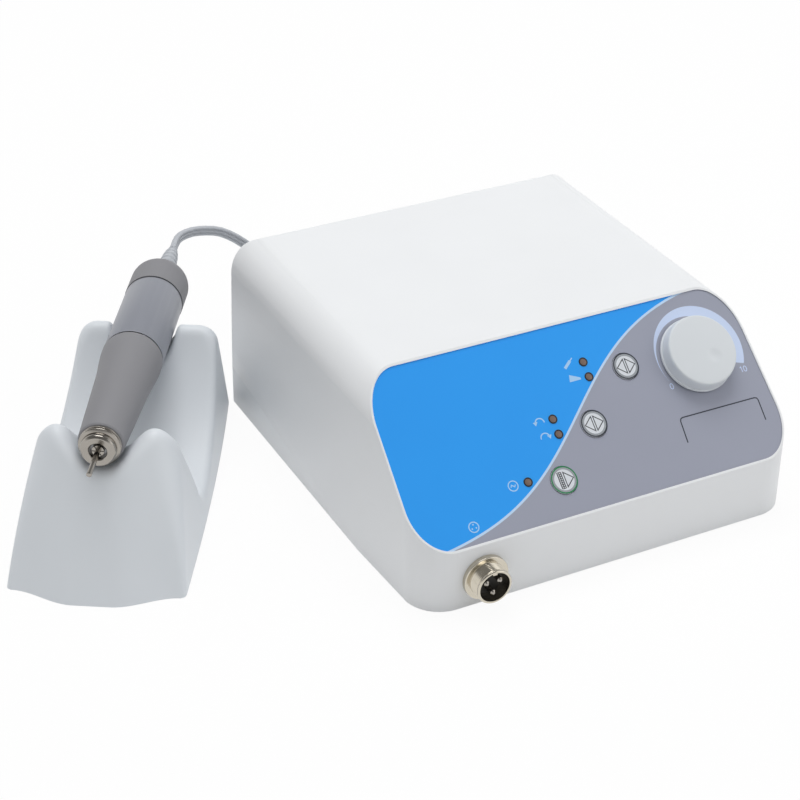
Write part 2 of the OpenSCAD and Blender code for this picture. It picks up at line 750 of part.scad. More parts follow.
// Outline of the stand's front seen head on: leaning sides and round horns
module horn_outline(t) {
  half = stand_half_front - t;
  low = horn_h - horn_r;
  shoulder = half - horn_lean * low;
  bulge_z = low * bulge_level;
  bulge_x = half - horn_lean * bulge_z + horn_bulge;
  polygon([[-half, 0], [half, 0], [bulge_x, bulge_z], [shoulder, low], [horn_x, horn_h - t],
    [-horn_x, horn_h - t], [-shoulder, low], [-bulge_x, bulge_z]]);
  for (side = [-1, 1]) translate([side * horn_x, low]) circle(horn_r - t);
}

// Outline of the back upright seen head on
module upright_outline(t) {
  half = stand_half_front - t;
  top = upright_h - t;
  r = upright_corner_r - t;
  edge = stand_half_back - t;
  polygon([[-half, 0], [half, 0], [half, upright_lean_z], [edge, top - r], [edge - r, top], [-edge + r, top],
    [-edge, top - r], [-half, upright_lean_z]]);
  for (side = [-1, 1]) translate([side * (edge - r), top - r]) circle(r);
}

// Saddle in the front, cut wider by t: a round bottom, then flanks up to the horns
module saddle_outline(t) {
  middle = saddle_low + saddle_r;
  flank = (saddle_r - fit_gap) * cos(saddle_turn) + t;
  flank_z = middle - (saddle_r - fit_gap) * sin(saddle_turn);
  mouth = horn_x - saddle_inset + t;
  translate([0, middle]) circle(saddle_r + t);
  polygon([[-flank, flank_z], [flank, flank_z], [mouth, horn_h - saddle_lip], [mouth, 2 * horn_h],
    [-mouth, 2 * horn_h], [-mouth, horn_h - saddle_lip]]);
}

module notch_outline(t) {
  translate([0, notch_low + notch_r]) circle(notch_r + t);
  translate([-notch_r - t, notch_low + notch_r]) square([2 * (notch_r + t), upright_h]);
}

// The raked front half of the stand, drawn in by t
module stand_front(t) intersection() {
  translate([0, horn_foot_y, 0]) rotate([90, 0, 0]) linear_extrude(2 * horn_foot_y) difference() {
    horn_outline(t);
    saddle_outline(t);
  }
  rotate([90, 0, 90]) linear_extrude(4 * stand_half_front, center = true)
    polygon([[-horn_foot_y, 0], [-horn_foot_y, horn_h - t], [horn_y - t, horn_h - t],
      [horn_foot_y - t, seat_low - t], [horn_foot_y - t, 0]]);
  stand_cone(t);
}

// The curved front face: a cone about an upright axis, wide at the foot
module stand_cone(t) {
  cone_r = (stand_half_front * stand_half_front + front_bulge * front_bulge) / (2 * front_bulge);
  middle_y = cone_r - front_bulge;
  translate([0, middle_y, 0]) cylinder(h = horn_h, r1 = cone_r - t, r2 = cone_r - t - front_rake * horn_h);
  translate([-2 * stand_half_front, middle_y, 0]) cube([4 * stand_half_front, stand_len, horn_h]);
}

// The seat and upright, drawn in by t
module stand_back(t) intersection() {
  translate([0, 2 * stand_len, 0]) rotate([90, 0, 0]) linear_extrude(2 * stand_len) difference() {
    upright_outline(t);
    notch_outline(t);
  }
  rotate([90, 0, 90]) linear_extrude(4 * stand_half_front, center = true) difference() {
    union() {
      polygon([[seat_start, 0], [seat_start, upright_h - t], [upright_y, upright_h - t],
        [upright_y + upright_edge_r - t, upright_h - upright_edge_r], [stand_len - t, 0]]);
      translate([upright_y, upright_h - upright_edge_r]) circle(upright_edge_r - t);
    }
    translate([seat_mid_y, seat_low + seat_r]) circle(seat_r + t);
  }
}

// The stand's whole outer shape, drawn in by t, its foot narrowing to the back
module stand_form(t) intersection() {
  union() {
    stand_front(t);
    stand_back(t);
  }
  front = stand_half_front - t;
  back = stand_half_back - t;
  linear_extrude(2 * horn_h) polygon([[-front, -2 * front_bulge], [front, -2 * front_bulge], [front, 0],
    [back, stand_len], [-back, stand_len], [-front, 0]]);
}

module stand_shell() color("white") at_stand() difference() {
  stand_form(0);
  translate([0, 0, -hair]) stand_form(stand_wall);
}

stand_base_z = 1;
stand_base_t = 1.5;

module stand_base() color("gainsboro") at_stand() intersection() {
  stand_form(stand_wall + free_gap);
  translate([-stand_len, -stand_len, stand_base_z]) cube([2 * stand_len, 4 * stand_len, stand_base_t]);
}

// Sets a piece in the handpiece: z runs along its axis from the nose face to the tail
module at_hand() at_stand() translate([0, nose_y, axis_z]) rotate([-90, 0, 0]) children();

// Turns an outline of radius and place along the axis
module turned(points) rotate_extrude() polygon(points);

// Places along the handpiece's axis
nut_len = 3.4;
collar_len = 3.2;
grip_gap = 0.2;
grip_start = nut_len + collar_len + grip_gap;
grip_waist = 56;
grip_kink = 71;
grip_end = 77.2;
sleeve_start = grip_end + 2 * grip_gap;
cap_len = 24.2;
sleeve_end = hand_len - cap_len - free_gap;
cap_start = hand_len - cap_len;
// Broken edges of the turned parts, and where the grip's bore steps up behind the collar's tube
edge = 0.4;
nose_edge = 0.6;
nut_edge = 0.9;
bore_back = 8;
bore_step = grip_kink - bore_back;
inner_r = 8;
sleeve_wall = 1.8;
can_r = sleeve_r - sleeve_wall;
can_wall = 1;
spindle_r = 3.9;
spindle_bore = 2.65;
rear_shaft_r = 3;
bearing_r = 5.5;
can_inset = [2, 3];
can_start = sleeve_start + can_inset[0];
can_end = sleeve_end - can_inset[1];
rear_bearing_r = 6.5;
rear_bearing_w = 4;

tube_r = can_r - edge;

module nose_nut() color("silver") at_hand() turned([[nose_bore_r, nose_edge], [nose_bore_r + nose_edge, 0],
  [nut_r - nut_edge, 0], [nut_r, nut_edge], [nut_r, nut_len], [nose_bore_r, nut_len]]);

// Collar: its ring shows behind the nut, and its tube carries the grip and the front bearing
module nose_collar() color("silver") at_hand() turned([[bearing_r + run_gap, nut_len],
  [nut_r + free_gap, nut_len], [collar_r, nut_len + nut_edge], [collar_r, nut_len + collar_len],
  [inner_r - run_gap, nut_len + collar_len], [inner_r - run_gap, bore_step], [tube_r, bore_step],
  [tube_r, can_start - fit_gap], [bearing_r + run_gap, can_start - fit_gap]]);

module front_grip() color("gray") at_hand() turned([[inner_r, grip_start], [grip_r - nose_edge, grip_start],
  [grip_r, grip_start + nose_edge], [grip_waist_r, grip_waist], [grip_max_r, grip_kink],
  [grip_max_r, grip_end - edge], [grip_max_r - edge, grip_end], [tube_r + fit_gap, grip_end],
  [tube_r + fit_gap, bore_step - free_gap], [inner_r, bore_step - free_gap]]);

module motor_sleeve() color("slategray") at_hand() turned([[can_r + run_gap, sleeve_start],
  [sleeve_r - edge, sleeve_start], [sleeve_r, sleeve_start + edge], [sleeve_r, sleeve_end - edge],
  [sleeve_r - edge, sleeve_end], [can_r + run_gap, sleeve_end]]);

// Rear cap: a round ended cup, open in the middle for the cord
cap_lap = 0.2;
cap_r = sleeve_r + cap_lap;
cap_wall = 2;
cap_round = 9;
cap_hole_r = 4.4;

module cap_solid(t) {
  end = hand_len - t;
  r = cap_r - t;
  bend = cap_round - t;
  translate([0, 0, cap_start]) cylinder(h = end - bend - cap_start, r = r);
  rotate_extrude() {
    translate([0, end - bend - cut]) square([r, cut]);
    translate([0, end - bend - cut]) square([r - bend, bend + cut]);
    intersection() {
      translate([r - bend, end - bend]) circle(bend);
      translate([r - bend, end - bend]) square(bend);
    }
  }
}

module rear_cap() color("dimgray") at_hand() difference() {
  cap_solid(0);
  difference() {
    translate([0, 0, -hair]) cap_solid(cap_wall);
    translate([0, 0, -cut]) cylinder(h = cap_start + cut - 2 * hair, r = cap_r);
  }
  translate([0, 0, cap_start]) cylinder(h = hand_len, r = cap_hole_r);
}

// Ribbed boot that the cord leaves by
relief_len = 28;
relief_ribs = 8;
relief_tip_r = 2.3;
relief_head = [cap_hole_r + 1.2, 2.5];
relief_r0 = cap_hole_r - fit_gap;
relief_start = hand_len - cap_wall - relief_head.y;
relief_seat = hand_len - cap_wall - 2 * fit_gap;
relief_foot = hand_len + 0.5;
relief_end = hand_len + relief_len;
rib_share = 0.65;
rib_depth = 0.7;

// Radius of the boot along the axis: nearly even at first, drawn in at its tip
function relief_r(s) = let (part = (s - relief_foot) / (relief_end - relief_foot))
  relief_r0 - (relief_r0 - relief_tip_r) * pow(part, 4);

rib_pitch = (relief_end - relief_foot) / relief_ribs;
relief_profile = [for (i = [0:relief_ribs - 1])
  let (s = relief_foot + i * rib_pitch, top = s + rib_share * rib_pitch, r = relief_r(s))
  each [[r, s], [r, top], [r - rib_depth, top], [r - rib_depth, s + rib_pitch]]];

module strain_relief() color("gray") at_hand() turned(concat([[0, relief_start],
  [relief_head.x, relief_start], [relief_head.x, relief_seat], [relief_r0, relief_seat],
  [relief_r0, relief_foot]], relief_profile, [[0, relief_end]]));

module motor_can() color("silver") at_hand() difference() {
  floor_t = 2 * can_wall;
  translate([0, 0, can_start]) cylinder(h = can_end - can_start, r = can_r);
  translate([0, 0, can_start + floor_t])
    cylinder(h = can_end - can_start - floor_t - rear_bearing_w, r = can_r - can_wall);
  translate([0, 0, can_start - cut]) cylinder(h = 2 * hand_len, r = rear_shaft_r + 2 * free_gap);
  translate([0, 0, can_end - rear_bearing_w]) cylinder(h = hand_len, r = rear_bearing_r + run_gap);
}

magnet_inset = 4.5;
magnet_start = can_start + magnet_inset;
magnet_len = 27;
magnet_r = can_r - can_wall - fit_gap;
magnet_t = 1.9;
magnet_split = 8;

module motor_magnets() color("dimgray") at_hand() translate([0, 0, magnet_start]) difference() {
  tube(magnet_len, magnet_r, magnet_r - magnet_t);
  translate([-magnet_split / 2, -2 * magnet_r, -cut])
    cube([magnet_split, 4 * magnet_r, magnet_len + 2 * cut]);
}

air_gap = 0.4;
rotor_r = magnet_r - magnet_t - air_gap;
rotor_slots = 5;
slot_room = [2, 2.4];
slot_mouth = 0.8;
slot_lip = 1.4;
commutator_start = magnet_start + magnet_len + cut;
commutator_len = 7;
commutator_r = 4.6;
brush = [3, 4];

module rotor_core() color("dimgray") at_hand() translate([0, 0, magnet_start + cut]) difference() {
  tube(magnet_len - 2 * cut, rotor_r, rear_shaft_r + press_gap);
  slot_len = magnet_len + 2 * cut;
  for (i = [0:rotor_slots - 1])
    rotate([0, 0, i * 360 / rotor_slots]) translate([rotor_r - slot_lip, 0, -cut]) {
      translate([-slot_room.x, -slot_room.y / 2, 0]) cube([slot_room.x, slot_room.y, slot_len]);
      translate([-slot_room.x / 2, -slot_mouth / 2, 0]) cube([rotor_r, slot_mouth, slot_len]);
    }
}

module commutator() color("peru") at_hand() translate([0, 0, commutator_start])
  tube(commutator_len, commutator_r, rear_shaft_r + press_gap);

// Carbon brushes, in guides that stand on the can's inside
module at_brushes() at_hand() for (side = [0, 180])
  rotate([0, 0, side]) translate([0, 0, commutator_start + commutator_len / 2]) children();

brush_room = 1.5;
holder_wall = 0.8;
holder_gap = [1, 0.5];

module carbon_brushes() color("black") at_brushes()
  translate([commutator_r + fit_gap, -brush.x / 2, -brush.y / 2])
    cube([can_r - can_wall - commutator_r - brush_room, brush.x, brush.y]);

module brush_holders() color("gold") at_brushes() difference() {
  start = commutator_r + holder_gap[0];
  end = can_r - can_wall - holder_gap[1];
  translate([start, -brush.x / 2 - holder_wall, -brush.y / 2 - holder_wall])
    cube([end - start, brush.x + 2 * holder_wall, brush.y + 2 * holder_wall]);
  translate([0, -brush.x / 2 - fit_gap, -brush.y / 2 - fit_gap])
    cube([can_r, brush.x + 2 * fit_gap, brush.y + 2 * fit_gap]);
}

front_bearing_w = 5;
front_bearing_at = nut_len + front_bearing_w;

module front_bearing() color("silver") at_hand() translate([0, 0, front_bearing_at])
  tube(front_bearing_w, bearing_r, spindle_r + run_gap);

module rear_bearing() color("silver") at_hand() translate([0, 0, can_end - rear_bearing_w])
  tube(rear_bearing_w, rear_bearing_r, rear_shaft_r + run_gap);

// Spindle: a hollow nose that guides the collet, then a slim shaft through the motor
collet_r = spindle_bore - run_gap;
collet_proud = 0.2;
collet_len = 29;
collet_start = collet_stroke - collet_proud;
collet_end = collet_start + collet_len;
collet_slot = [0.4, 12];
bore_room = 2;
spindle_start = nut_len + edge;
spindle_step = collet_end + 2 * bore_room;
shank_end = 22;
shank_edge = 0.3;

module spindle_shaft() color("silver") at_hand() difference() {
  union() {
    translate([0, 0, spindle_start]) cylinder(h = spindle_step - spindle_start, r = spindle_r);
    translate([0, 0, spindle_step - cut]) cylinder(h = can_end + cut - spindle_step, r = rear_shaft_r);
  }
  translate([0, 0, spindle_start - cut])
    cylinder(h = collet_end + bore_room - spindle_start + cut, r = spindle_bore);
}

module collet() color("silver") at_hand() difference() {
  translate([0, 0, collet_start]) tube(collet_end - collet_start, collet_r, shank_r + run_gap / 2);
  for (turn = [0, 60, 120]) rotate([0, 0, turn])
    translate([-collet_r - cut, -collet_slot.x / 2, collet_start - cut])
      cube([2 * collet_r + 2 * cut, collet_slot.x, collet_slot.y + cut]);
}

module tool_shank() color("silver") at_hand() translate([0, 0, -shank_free]) {
  translate([0, 0, shank_edge]) cylinder(h = shank_end + shank_free - shank_edge, r = shank_r);
  cylinder(h = shank_edge, r1 = shank_r - shank_edge, r2 = shank_r);
}

// Motor cord: flat, wider than thick, standing on its edge
cord_w = 5;
cord_t = 2.8;
coil_lift = 0.8;

// Free stretch, from the boot's tip down to the table behind the case
relief_tip = [stand_x, stand_y, axis_z] + (nose_y + relief_end) * [sin(stand_yaw), cos(stand_yaw), 0];
tail_way = [sin(stand_yaw), cos(stand_yaw), 0];
// Its points, the second number of each counted from the back of the case
lead_marks = [[-22.5, 64.5, 55.3], [-18.5, 68.5, 55.4], [-11.5, 71, 55.2], [-3.5, 72, 53.7], [4.5, 73, 50.7],
  [12.5, 73, 45.3], [19.5, 72.5, 39], [27, 71.5, 32], [34.5, 70, 25], [42, 68.5, 18], [49.5, 67, 12],
  [57, 66.5, 7.5], [65, 66.5, 4.5]];
lead_points = [for (mark = lead_marks) mark + [0, unit_back, 0]];

// Coil: in along the table, up one layer in half a turn, out again on top, then straight to the plug
coil_behind = 42.5;
coil_at = [95, unit_back + coil_behind];
coil_outer = 33.5;
coil_play = 0.6;
coil_pitch = cord_t + coil_play;
coil_layer = cord_w + coil_play;
coil_start = 120;
coil_run = 1185;
coil_climb = 180;
coil_steps = 24;
coil_z = coil_lift + cord_w / 2;
plug_z = 9.4;
plug_x = 112;
coil_total = 2 * coil_run + coil_climb;
coil_count = ceil(coil_total / 360 * coil_steps);

function smooth(x) = let (v = min(max(x, 0), 1)) v * v * (3 - 2 * v);
function coil_depth(turned) = turned < coil_run ? turned
  : turned < coil_run + coil_climb ? coil_run
  : coil_total - turned;
function coil_point(turned) = let (
    r = coil_outer - coil_pitch * coil_depth(turned) / 360,
    up = smooth((turned - coil_run) / coil_climb),
    a = coil_start - turned)
  [coil_at.x + r * cos(a), coil_at.y + r * sin(a), coil_z + coil_layer * up];

coil_points = [for (i = [0:coil_count]) coil_point(coil_total * i / coil_count)];
tail_y = coil_at.y + coil_outer;
coil_route = concat(coil_points, [[coil_at.x + cord_w, tail_y, coil_z + coil_layer],
  [plug_x - cord_w, tail_y, plug_z], [plug_x, tail_y, plug_z]]);
lead_route = concat([relief_tip, relief_tip + cord_w * tail_way], lead_points, [coil_points[0]]);

// Direction of a route at point i, from the points on both sides of it
function way(route, i) =
  let (n = len(route) - 1, d = route[min(i + 1, n)] - route[max(i - 1, 0)]) d / norm(d);

// Ring of a flat cord: the wide axis stays upright
function cord_ring(p, d, sides) =
  let (flat = cross(d, [0, 0, 1]), across = flat / norm(flat), up = cross(across, d))
  [for (k = [0:sides - 1]) let (a = 360 * (k + 0.5) / sides)
    p + across * cord_t / 2 * cos(a) / cos(180 / sides) + up * cord_w / 2 * sin(a)];

// First ring square to the boot or coil, last ring square to the coil or plug
module swept_cord(route, sides, first, last) {
  n = len(route) - 1;
  rings = [for (i = [0:n]) cord_ring(route[i], i == 0 ? first : i == n ? last : way(route, i), sides)];
  points = [for (ring = rings) each ring];
  walls = [for (i = [0:n - 1], k = [0:sides - 1]) let (a = i * sides + k, b = i * sides + (k + 1) % sides)
    each [[a, b, a + sides], [b, b + sides, a + sides]]];
  start_cap = [for (k = [1:sides - 2]) [0, k + 1, k]];
  end_cap = [for (k = [1:sides - 2]) [n * sides, n * sides + k, n * sides + k + 1]];
  polyhedron(points, concat(walls, start_cap, end_cap));
}

coil_first = way(coil_points, 0);

// Least gap of the coil to itself, over points of rings half a turn or more apart
coil_rings = [for (i = [0:coil_count]) cord_ring(coil_points[i], way(coil_points, i), 6)];
coil_gap = min([for (i = [0:2:coil_count], j = [i + coil_steps / 2:1:coil_count])
  min([for (p = coil_rings[i], q = coil_rings[j]) norm(p - q)])]);
function route_length(route, i = 1) = i == len(route) ? 0
  : norm(route[i] - route[i - 1]) + route_length(route, i + 1);

module cord_lead() color("darkgray") swept_cord(lead_route, 8, tail_way, coil_first);

module cord_coil() color("darkgray") {
  echo(coil_gap = coil_gap, lead_length = route_length(lead_route), coil_length = route_length(coil_route));
  swept_cord(coil_route, 6, coil_first, [1, 0, 0]);
}

tie_t = 0.5;
tie_w = 9;
tie_turn = 235;

module coil_tie() color("dimgray") translate([coil_at.x, coil_at.y, 0]) rotate([0, 0, tie_turn]) {
  outer = coil_outer + cord_t / 2 + free_gap;
  inner = coil_outer - coil_pitch * (coil_run + coil_climb) / 360 - cord_t / 2 - free_gap;
  high = coil_z + coil_layer + cord_w / 2 + free_gap;
  translate([0, -tie_w / 2, 0]) difference() {
    translate([inner - tie_t, 0, press_gap])
      cube([outer - inner + 2 * tie_t, tie_w, high + tie_t - press_gap]);
    translate([inner, -cut, tie_t]) cube([outer - inner, tie_w + 2 * cut, high - tie_t]);
  }
}

// Plug that fits the motor socket, at rest beside the coil
module at_plug() translate([plug_x, tail_y, plug_z]) rotate([0, 90, 0]) children();

boot_len = 18;
shell_len = 24;
shell_end = boot_len + shell_len;
shell_r = socket_r - 0.6;
shell_neck = [5.8, 4];
plug_nut_r = plug_z - fit_gap;
plug_nut_len = 13;
plug_nut_lap = 5;
plug_nut_at = shell_end - plug_nut_lap;
insert_len = 18;
insert_proud = 4;
insert_r = socket_inner_r - 0.6;
insert_at = shell_end - insert_len + insert_proud;
contact_floor = 6;
boot_ribs = 5;
boot_collar = [5.4, 3];
boot_r = [3.4, 5];
boot_rib_share = 0.6;
boot_rib_depth = 0.5;
boot_pitch = (boot_len - boot_collar.y) / boot_ribs;
boot_profile = [for (i = [0:boot_ribs - 1])
  let (s = i * boot_pitch, top = s + boot_rib_share * boot_pitch, grow = (boot_r[1] - boot_r[0]) / boot_ribs,
    r = boot_r[0] + grow * i)
  each [[r, s], [r, top], [r - boot_rib_depth, top], [r - boot_rib_depth, s + boot_pitch]]];

module plug_boot() color("dimgray") at_plug() turned(concat([[0, 0]], boot_profile,
  [[boot_collar.x, boot_len - boot_collar.y], [boot_collar.x, boot_len], [0, boot_len]]));

module plug_shell() color("tan") at_plug() difference() {
  turned([[0, boot_len], [shell_neck.x, boot_len], [shell_r, boot_len + shell_neck.y], [shell_r, shell_end],
    [0, shell_end]]);
  translate([0, 0, insert_at]) cylinder(h = insert_len, r = insert_r + fit_gap);
}

module plug_insert() color("black") at_plug() translate([0, 0, insert_at]) difference() {
  cylinder(h = insert_len, r = insert_r);
  socket_pin_places() translate([0, 0, contact_floor]) cylinder(h = insert_len, r = socket_pin_r + fit_gap);
}

knurl_count = 30;
knurl = [0.7, 0.35];
knurl_inset = 1.5;

module plug_nut() color("tan") at_plug() translate([0, 0, plug_nut_at]) difference() {
  cylinder(h = plug_nut_len, r = plug_nut_r);
  translate([0, 0, -cut]) cylinder(h = plug_nut_len + 2 * cut, r = shell_r + fit_gap);
  translate([0, 0, plug_nut_lap]) cylinder(h = plug_nut_len, r = socket_r + fit_gap);
  for (i = [0:knurl_count - 1]) rotate([0, 0, (i + 0.5) * 360 / knurl_count])
    translate([plug_nut_r - knurl.y, -knurl.x / 2, knurl_inset])
      cube([cut, knurl.x, plug_nut_len - 2 * knurl_inset]);
}

top_housing();
base_plate();
rear_panel();
panel_overlay();
key_board();
tact_switches();
indicator_leds();
pot_body();
pot_nut();
motor_socket();
socket_insert();
socket_pins();
socket_nut();
control_board();
board_standoffs();
heat_sink();
filter_capacitors();
transformer_core();
transformer_coil();
mains_inlet();
inlet_pins();
switch_frame();
fuse_holder();
foot_jack();
case_screws();
rubber_feet();
stand_shell();
stand_base();
cord_lead();
cord_coil();
coil_tie();
plug_shell();
plug_nut();
plug_insert();
plug_boot();
speed_knob();
pot_shaft();
mode_key();
direction_key();
motor_key();
power_rocker();
fuse_cap();
fuse_link();
motor_sleeve();
rear_cap();
strain_relief();
motor_can();
motor_magnets();
brush_holders();
carbon_brushes();
front_bearing();
rear_bearing();
nose_collar();
nose_nut();
front_grip();
spindle_shaft();
rotor_core();
commutator();
collet();
tool_shank();
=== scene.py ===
"""Bench micromotor grinder: finishes, motor cord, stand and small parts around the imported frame."""

import json
import math

import bmesh
import bpy
import numpy as np
from bpy.props import FloatProperty, FloatVectorProperty, IntProperty, PointerProperty
from bpy.types import Operator, Panel, PropertyGroup
from mathutils import Matrix, Vector


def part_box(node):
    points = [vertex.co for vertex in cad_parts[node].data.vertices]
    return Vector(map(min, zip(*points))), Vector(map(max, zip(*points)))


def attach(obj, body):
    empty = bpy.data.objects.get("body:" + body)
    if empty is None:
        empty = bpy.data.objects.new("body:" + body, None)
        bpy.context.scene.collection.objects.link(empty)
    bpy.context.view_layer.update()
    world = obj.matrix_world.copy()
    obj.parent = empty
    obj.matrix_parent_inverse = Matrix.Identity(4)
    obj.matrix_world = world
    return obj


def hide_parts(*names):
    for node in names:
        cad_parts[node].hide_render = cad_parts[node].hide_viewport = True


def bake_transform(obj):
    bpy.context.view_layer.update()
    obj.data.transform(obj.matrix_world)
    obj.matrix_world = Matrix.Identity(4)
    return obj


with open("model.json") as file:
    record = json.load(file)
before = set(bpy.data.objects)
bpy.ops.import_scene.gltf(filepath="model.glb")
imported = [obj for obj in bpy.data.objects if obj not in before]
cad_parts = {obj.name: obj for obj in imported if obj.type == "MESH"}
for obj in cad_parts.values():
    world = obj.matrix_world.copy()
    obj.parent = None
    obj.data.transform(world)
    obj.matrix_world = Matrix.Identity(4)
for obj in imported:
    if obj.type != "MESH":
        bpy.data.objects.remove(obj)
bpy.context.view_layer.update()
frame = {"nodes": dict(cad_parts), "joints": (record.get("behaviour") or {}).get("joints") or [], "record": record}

bl_info = {
    "name": "Micromotor grinder",
    "version": (1, 0, 0),
    "blender": (4, 5, 0),
    "location": "View3D > Sidebar > Grinder",
    "description": "Dresses the frame of a bench micromotor grinder",
    "category": "Object",
}

MM = 0.001
JOINTS = {joint["name"]: joint for joint in frame["joints"]}
SLOTS = {part["node"]: part["material_slot"] for part in frame["record"]["subparts"]}

# Panel: across, up the slope and outward, from the lower edge's middle
ACROSS = Vector((1, 0, 0))
OUTWARD = Vector(JOINTS["knob_turn"]["axis"])
UPWARD = OUTWARD.cross(ACROSS)
KNOB_AT = (63.4, 53.9)
PANEL_ORIGIN = Vector(JOINTS["knob_turn"]["pos_m"]) - MM * (KNOB_AT[0] * ACROSS + KNOB_AT[1] * UPWARD)
FILM_TOP = -0.4
KEY_TOP = 0.1
KEY_PLACES = {"mode_key": (28.7, 57.5), "direction_key": (3.7, 36.7), "motor_key": (-19.4, 16.8)}
LAMP_PLACES = ((10, 64.2), (10, 57.2), (-13.8, 43.4), (-13.8, 36.4), (-35.4, 20.2))

# Handpiece: its nose and the axis from nose to tail, and the stand that it lies in
NOSE = Vector(JOINTS["spindle_spin"]["pos_m"])
TAILWARD = Vector(JOINTS["spindle_spin"]["axis"])
HAND_SIDE = Vector((TAILWARD.y, -TAILWARD.x, 0))
RELIEF_FOOT = 154.5
RELIEF_END = 182


def from_screen(red, green, blue):
    """Colour as a screen shows it, 0 to 255, as the linear values that shaders take."""
    def linear(part):
        share = part / 255
        return share / 12.92 if share <= 0.04045 else ((share + 0.055) / 1.055) ** 2.4
    return (linear(red), linear(green), linear(blue))


def colour_property(name, description, screen):
    """A colour that a user can change, given as a screen shows it."""
    return FloatVectorProperty(name=name, description=description, subtype="COLOR", size=3, min=0, max=1,
                               default=from_screen(*screen))


def length_property(name, description, millimetres):
    """A length that a user can change, given in millimetres."""
    return FloatProperty(name=name, description=description, subtype="DISTANCE", unit="LENGTH", min=0,
                         precision=5, default=millimetres * MM)


class GrinderSizes(PropertyGroup):
    """Sizes of the pieces that are made here."""

    cord_width: length_property("Cord width", "Width of the flat motor cord", 5)
    cord_thickness: length_property("Cord thickness", "Thickness of the flat motor cord", 2.8)
    cord_length: length_property("Cord length", "Length of the motor cord from boot to plug", 1369)
    cord_cores: IntProperty(name="Cord cores", description="Ribs along the flat motor cord", default=3, min=2)
    stand_wall: length_property("Stand wall", "Wall of the stand", 2.6)
    thread_pitch: length_property("Thread pitch", "Pitch of the motor socket's thread", 1)
    thread_depth: length_property("Thread depth", "Depth of the motor socket's thread", 0.42)
    dimple_depth: length_property("Dimple depth", "Depth of the knob's finger dimple", 0.5)
    print_height: length_property("Print height", "Height of the printed marks", 0.03)
    edge_width: length_property("Edge width", "Width of the broken edges of moulded parts", 0.5)


class GrinderColours(PropertyGroup):
    """Colours of the finishes."""

    case: colour_property("Case", "Moulded case", (240, 242, 244))
    stand: colour_property("Stand", "Moulded stand", (224, 229, 234))
    film_blue: colour_property("Blue film", "Left side of the panel film", (22, 160, 255))
    film_grey: colour_property("Grey film", "Right side of the panel film", (160, 164, 180))
    film_line: colour_property("Film line", "Line between the film's two sides", (196, 224, 252))
    film_scale: colour_property("Speed scale", "Crescent round the speed knob", (205, 220, 248))
    mark_pale: colour_property("Pale marks", "Marks on the blue film", (168, 212, 252))
    mark_dark: colour_property("Dark marks", "Frame line and key rings", (52, 56, 66))
    mark_green: colour_property("Green marks", "Ring of the motor key", (32, 130, 78))
    # Key bands: painted shade, a grey band round the keys' faces
    key_band: colour_property("Key bands", "Shaded band round the keys' faces", (158, 164, 170))
    knob: colour_property("Knob", "Speed knob", (222, 227, 231))
    key: colour_property("Keys", "Faces of the keys", (224, 228, 234))
    lamp: colour_property("Lamps", "Unlit lamp lenses", (124, 104, 94))
    grip: colour_property("Grip", "Grip and rear cap of the handpiece", (138, 138, 142))
    sleeve: colour_property("Sleeve", "Motor sleeve of the handpiece", (140, 143, 152))
    cord: colour_property("Cord", "Motor cord and its boot", (188, 192, 198))
    nickel: colour_property("Nickel", "Plated nose of the handpiece", (164, 159, 152))
    socket: colour_property("Socket", "Warm plating of the motor socket", (206, 199, 184))
    floor: colour_property("Floor", "Table top", (250, 250, 250))


class Value:
    """A socket in a finish: Python operators on it add Math nodes."""

    def __init__(self, finish, socket):
        self.finish = finish
        self.socket = socket

    def math(self, operation, *others):
        return self.finish.math(operation, self, *others)

    def __add__(self, other):
        return self.math("ADD", other)

    def __sub__(self, other):
        return self.math("SUBTRACT", other)

    def __rsub__(self, other):
        return self.finish.math("SUBTRACT", other, self)

    def __mul__(self, other):
        return self.math("MULTIPLY", other)

    def __truediv__(self, other):
        return self.math("DIVIDE", other)

    __radd__ = __add__
    __rmul__ = __mul__


